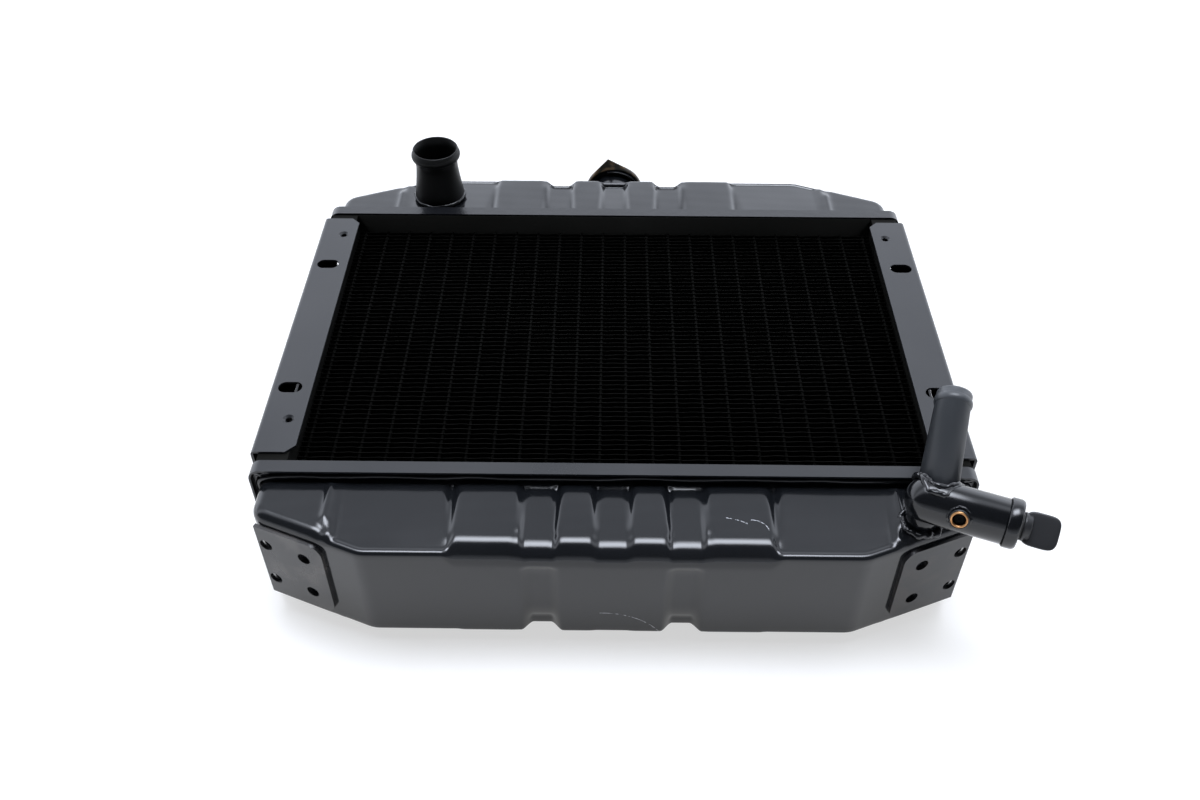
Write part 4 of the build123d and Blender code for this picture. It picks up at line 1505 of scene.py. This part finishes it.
@dataclass(frozen=True)
class Studio:
    """A pale floor, soft studio light and the camera. Lengths are in metres."""

    focal_mm: float = 33.72
    sensor_mm: float = 36.0
    camera: tuple = (-0.00436, -0.72142, 0.60698)
    pitch: float = 43.93
    yaw: float = 0.55
    roll: float = 0.15
    clip_start: float = 0.02
    floor_reach: float = 6.0
    floor_base: float = 0.42
    floor_glow: float = 0.6
    sweep: tuple = (
        (0.0, 2.1), (0.17, 2.1), (0.24, 1.35), (0.275, 0.95), (0.36, 0.85),
        (0.52, 0.5), (0.56, 0.09), (0.86, 0.09), (0.95, 0.8), (1.0, 0.9),
    )
    strip: tuple = ((0.0, 0), (0.33, 0), (0.38, 9), (0.42, 15), (0.47, 12), (0.52, 0), (1.0, 0))
    strip_edge: tuple = (0.2, 0.42)
    strip_rest: float = 0.08
    tint: tuple = (0.93, 0.98, 1.09, 1)

    def build_camera(self) -> None:
        """Adds the camera, looking down at the radiator from beyond the bottom tank."""
        data = bpy.data.cameras.new("camera")
        data.lens = self.focal_mm
        data.sensor_width = self.sensor_mm
        data.clip_start = self.clip_start
        camera = bpy.data.objects.new("camera", data)
        bpy.context.scene.collection.objects.link(camera)
        pitch, yaw, roll = (math.radians(a) for a in (self.pitch, self.yaw, self.roll))
        heading = Matrix.Rotation(-yaw, 3, "Z")
        tip = Matrix.Rotation(pitch + math.pi / 2, 3, "X")
        view = Matrix.Rotation(roll, 3, "Z") @ tip @ heading
        axes = Matrix((view[0], -view[1], -view[2])).transposed()
        camera.matrix_world = Matrix.Translation(self.camera) @ axes.to_4x4()
        bpy.context.scene.camera = camera

    def build_floor(self, low: float) -> None:
        """Adds a large pale floor at the given height."""
        size = self.floor_reach
        mesh = bpy.data.meshes.new("floor")
        corners = [(-size, -size, low), (size, -size, low), (size, size, low), (-size, size, low)]
        mesh.from_pydata(corners, [], [(0, 1, 2, 3)])
        floor = bpy.data.objects.new("floor", mesh)
        bpy.context.scene.collection.objects.link(floor)
        material = bpy.data.materials.new("pale_floor")
        material.use_nodes = True
        shader = material.node_tree.nodes["Principled BSDF"]
        base, white = self.floor_base, (1, 1, 1, 1)
        for label, value in (
            ("Base Color", (base, base, base, 1)),
            ("Emission Color", white),
            ("Emission Strength", self.floor_glow),
            ("Roughness", 0.9),
            ("Specular IOR Level", 0.1),
        ):
            shader.inputs[label].default_value = value
        floor.data.materials.append(material)
        floor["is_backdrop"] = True

    @staticmethod
    def curve(nodes: Nodes, place: bpy.types.NodeSocket, stops: tuple) -> bpy.types.NodeSocket:
        """A piecewise linear brightness.

        Args:
            nodes: the world's nodes.
            place: where to read it, 0 to 1.
            stops: (place, brightness) pairs.

        Returns:
            The brightness as a socket.
        """
        peak = max(value for _, value in stops)
        ramp = nodes.add("ShaderNodeValToRGB", Fac=place)
        elements = ramp.color_ramp.elements
        while len(elements) < len(stops):
            elements.new(0.5)
        for element, (position, value) in zip(elements, stops):
            element.position = position
            element.color = (value / peak, value / peak, value / peak, 1)
        return nodes.math("MULTIPLY", ramp.outputs["Color"], peak)

    def build_world(self) -> None:
        """Adds the light: a bright sweep behind, a strip overhead and a dim side in front.

        The brightness depends on the angle over the X axis, from the horizon at +Y (0) over
        the top (0.5) to the horizon at -Y (1).
        """
        world = bpy.data.worlds.new("studio")
        bpy.context.scene.world = world
        world.use_nodes = True
        world.node_tree.nodes.clear()
        nodes = Nodes(world.node_tree)
        place = nodes.add("ShaderNodeTexCoord").outputs["Generated"]
        way = nodes.add("ShaderNodeSeparateXYZ", Vector=place).outputs
        over = nodes.math("DIVIDE", nodes.math("ARCTAN2", way["Z"], way["Y"]), math.pi)
        base, strip = (self.curve(nodes, over, stops) for stops in (self.sweep, self.strip))
        sideways = nodes.math("ABSOLUTE", way["X"])
        inside = nodes.remap(sideways, *self.strip_edge, To_Min=1.0, To_Max=self.strip_rest)
        light = nodes.math("MULTIPLY_ADD", strip, inside, base)
        glow = nodes.add("ShaderNodeBackground", Strength=light, Color=self.tint)
        plain = nodes.add("ShaderNodeBackground", Strength=1.0, Color=(1, 1, 1, 1))
        seen = nodes.add("ShaderNodeLightPath").outputs["Is Camera Ray"]
        mix = nodes.tree.nodes.new("ShaderNodeMixShader")
        nodes.tree.links.new(seen, mix.inputs[0])
        nodes.tree.links.new(glow.outputs[0], mix.inputs[1])
        nodes.tree.links.new(plain.outputs[0], mix.inputs[2])
        out = nodes.add("ShaderNodeOutputWorld")
        nodes.tree.links.new(mix.outputs[0], out.inputs["Surface"])

    def build(self) -> None:
        """Builds camera, floor and light."""
        self.build_camera()
        self.build_floor(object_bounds()[0][2])
        self.build_world()
        bpy.context.scene.view_settings.view_transform = "Standard"


def main() -> None:
    """Builds every sub-assembly in order."""
    logging.basicConfig(level=logging.INFO)
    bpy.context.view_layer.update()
    wardrobe = Wardrobe()
    dress_frame(wardrobe)
    for side in Side:
        Tank(wardrobe, side=side).build()
    Core(wardrobe).build()
    InletNeck(wardrobe).build()
    outlet = Outlet(wardrobe)
    outlet.build()
    Drain(wardrobe).build(outlet.pipe_axis())
    Cap(wardrobe).build()
    ShadeSplices(wardrobe).build()
    Studio().build()


if __name__ == "__main__":
    main()
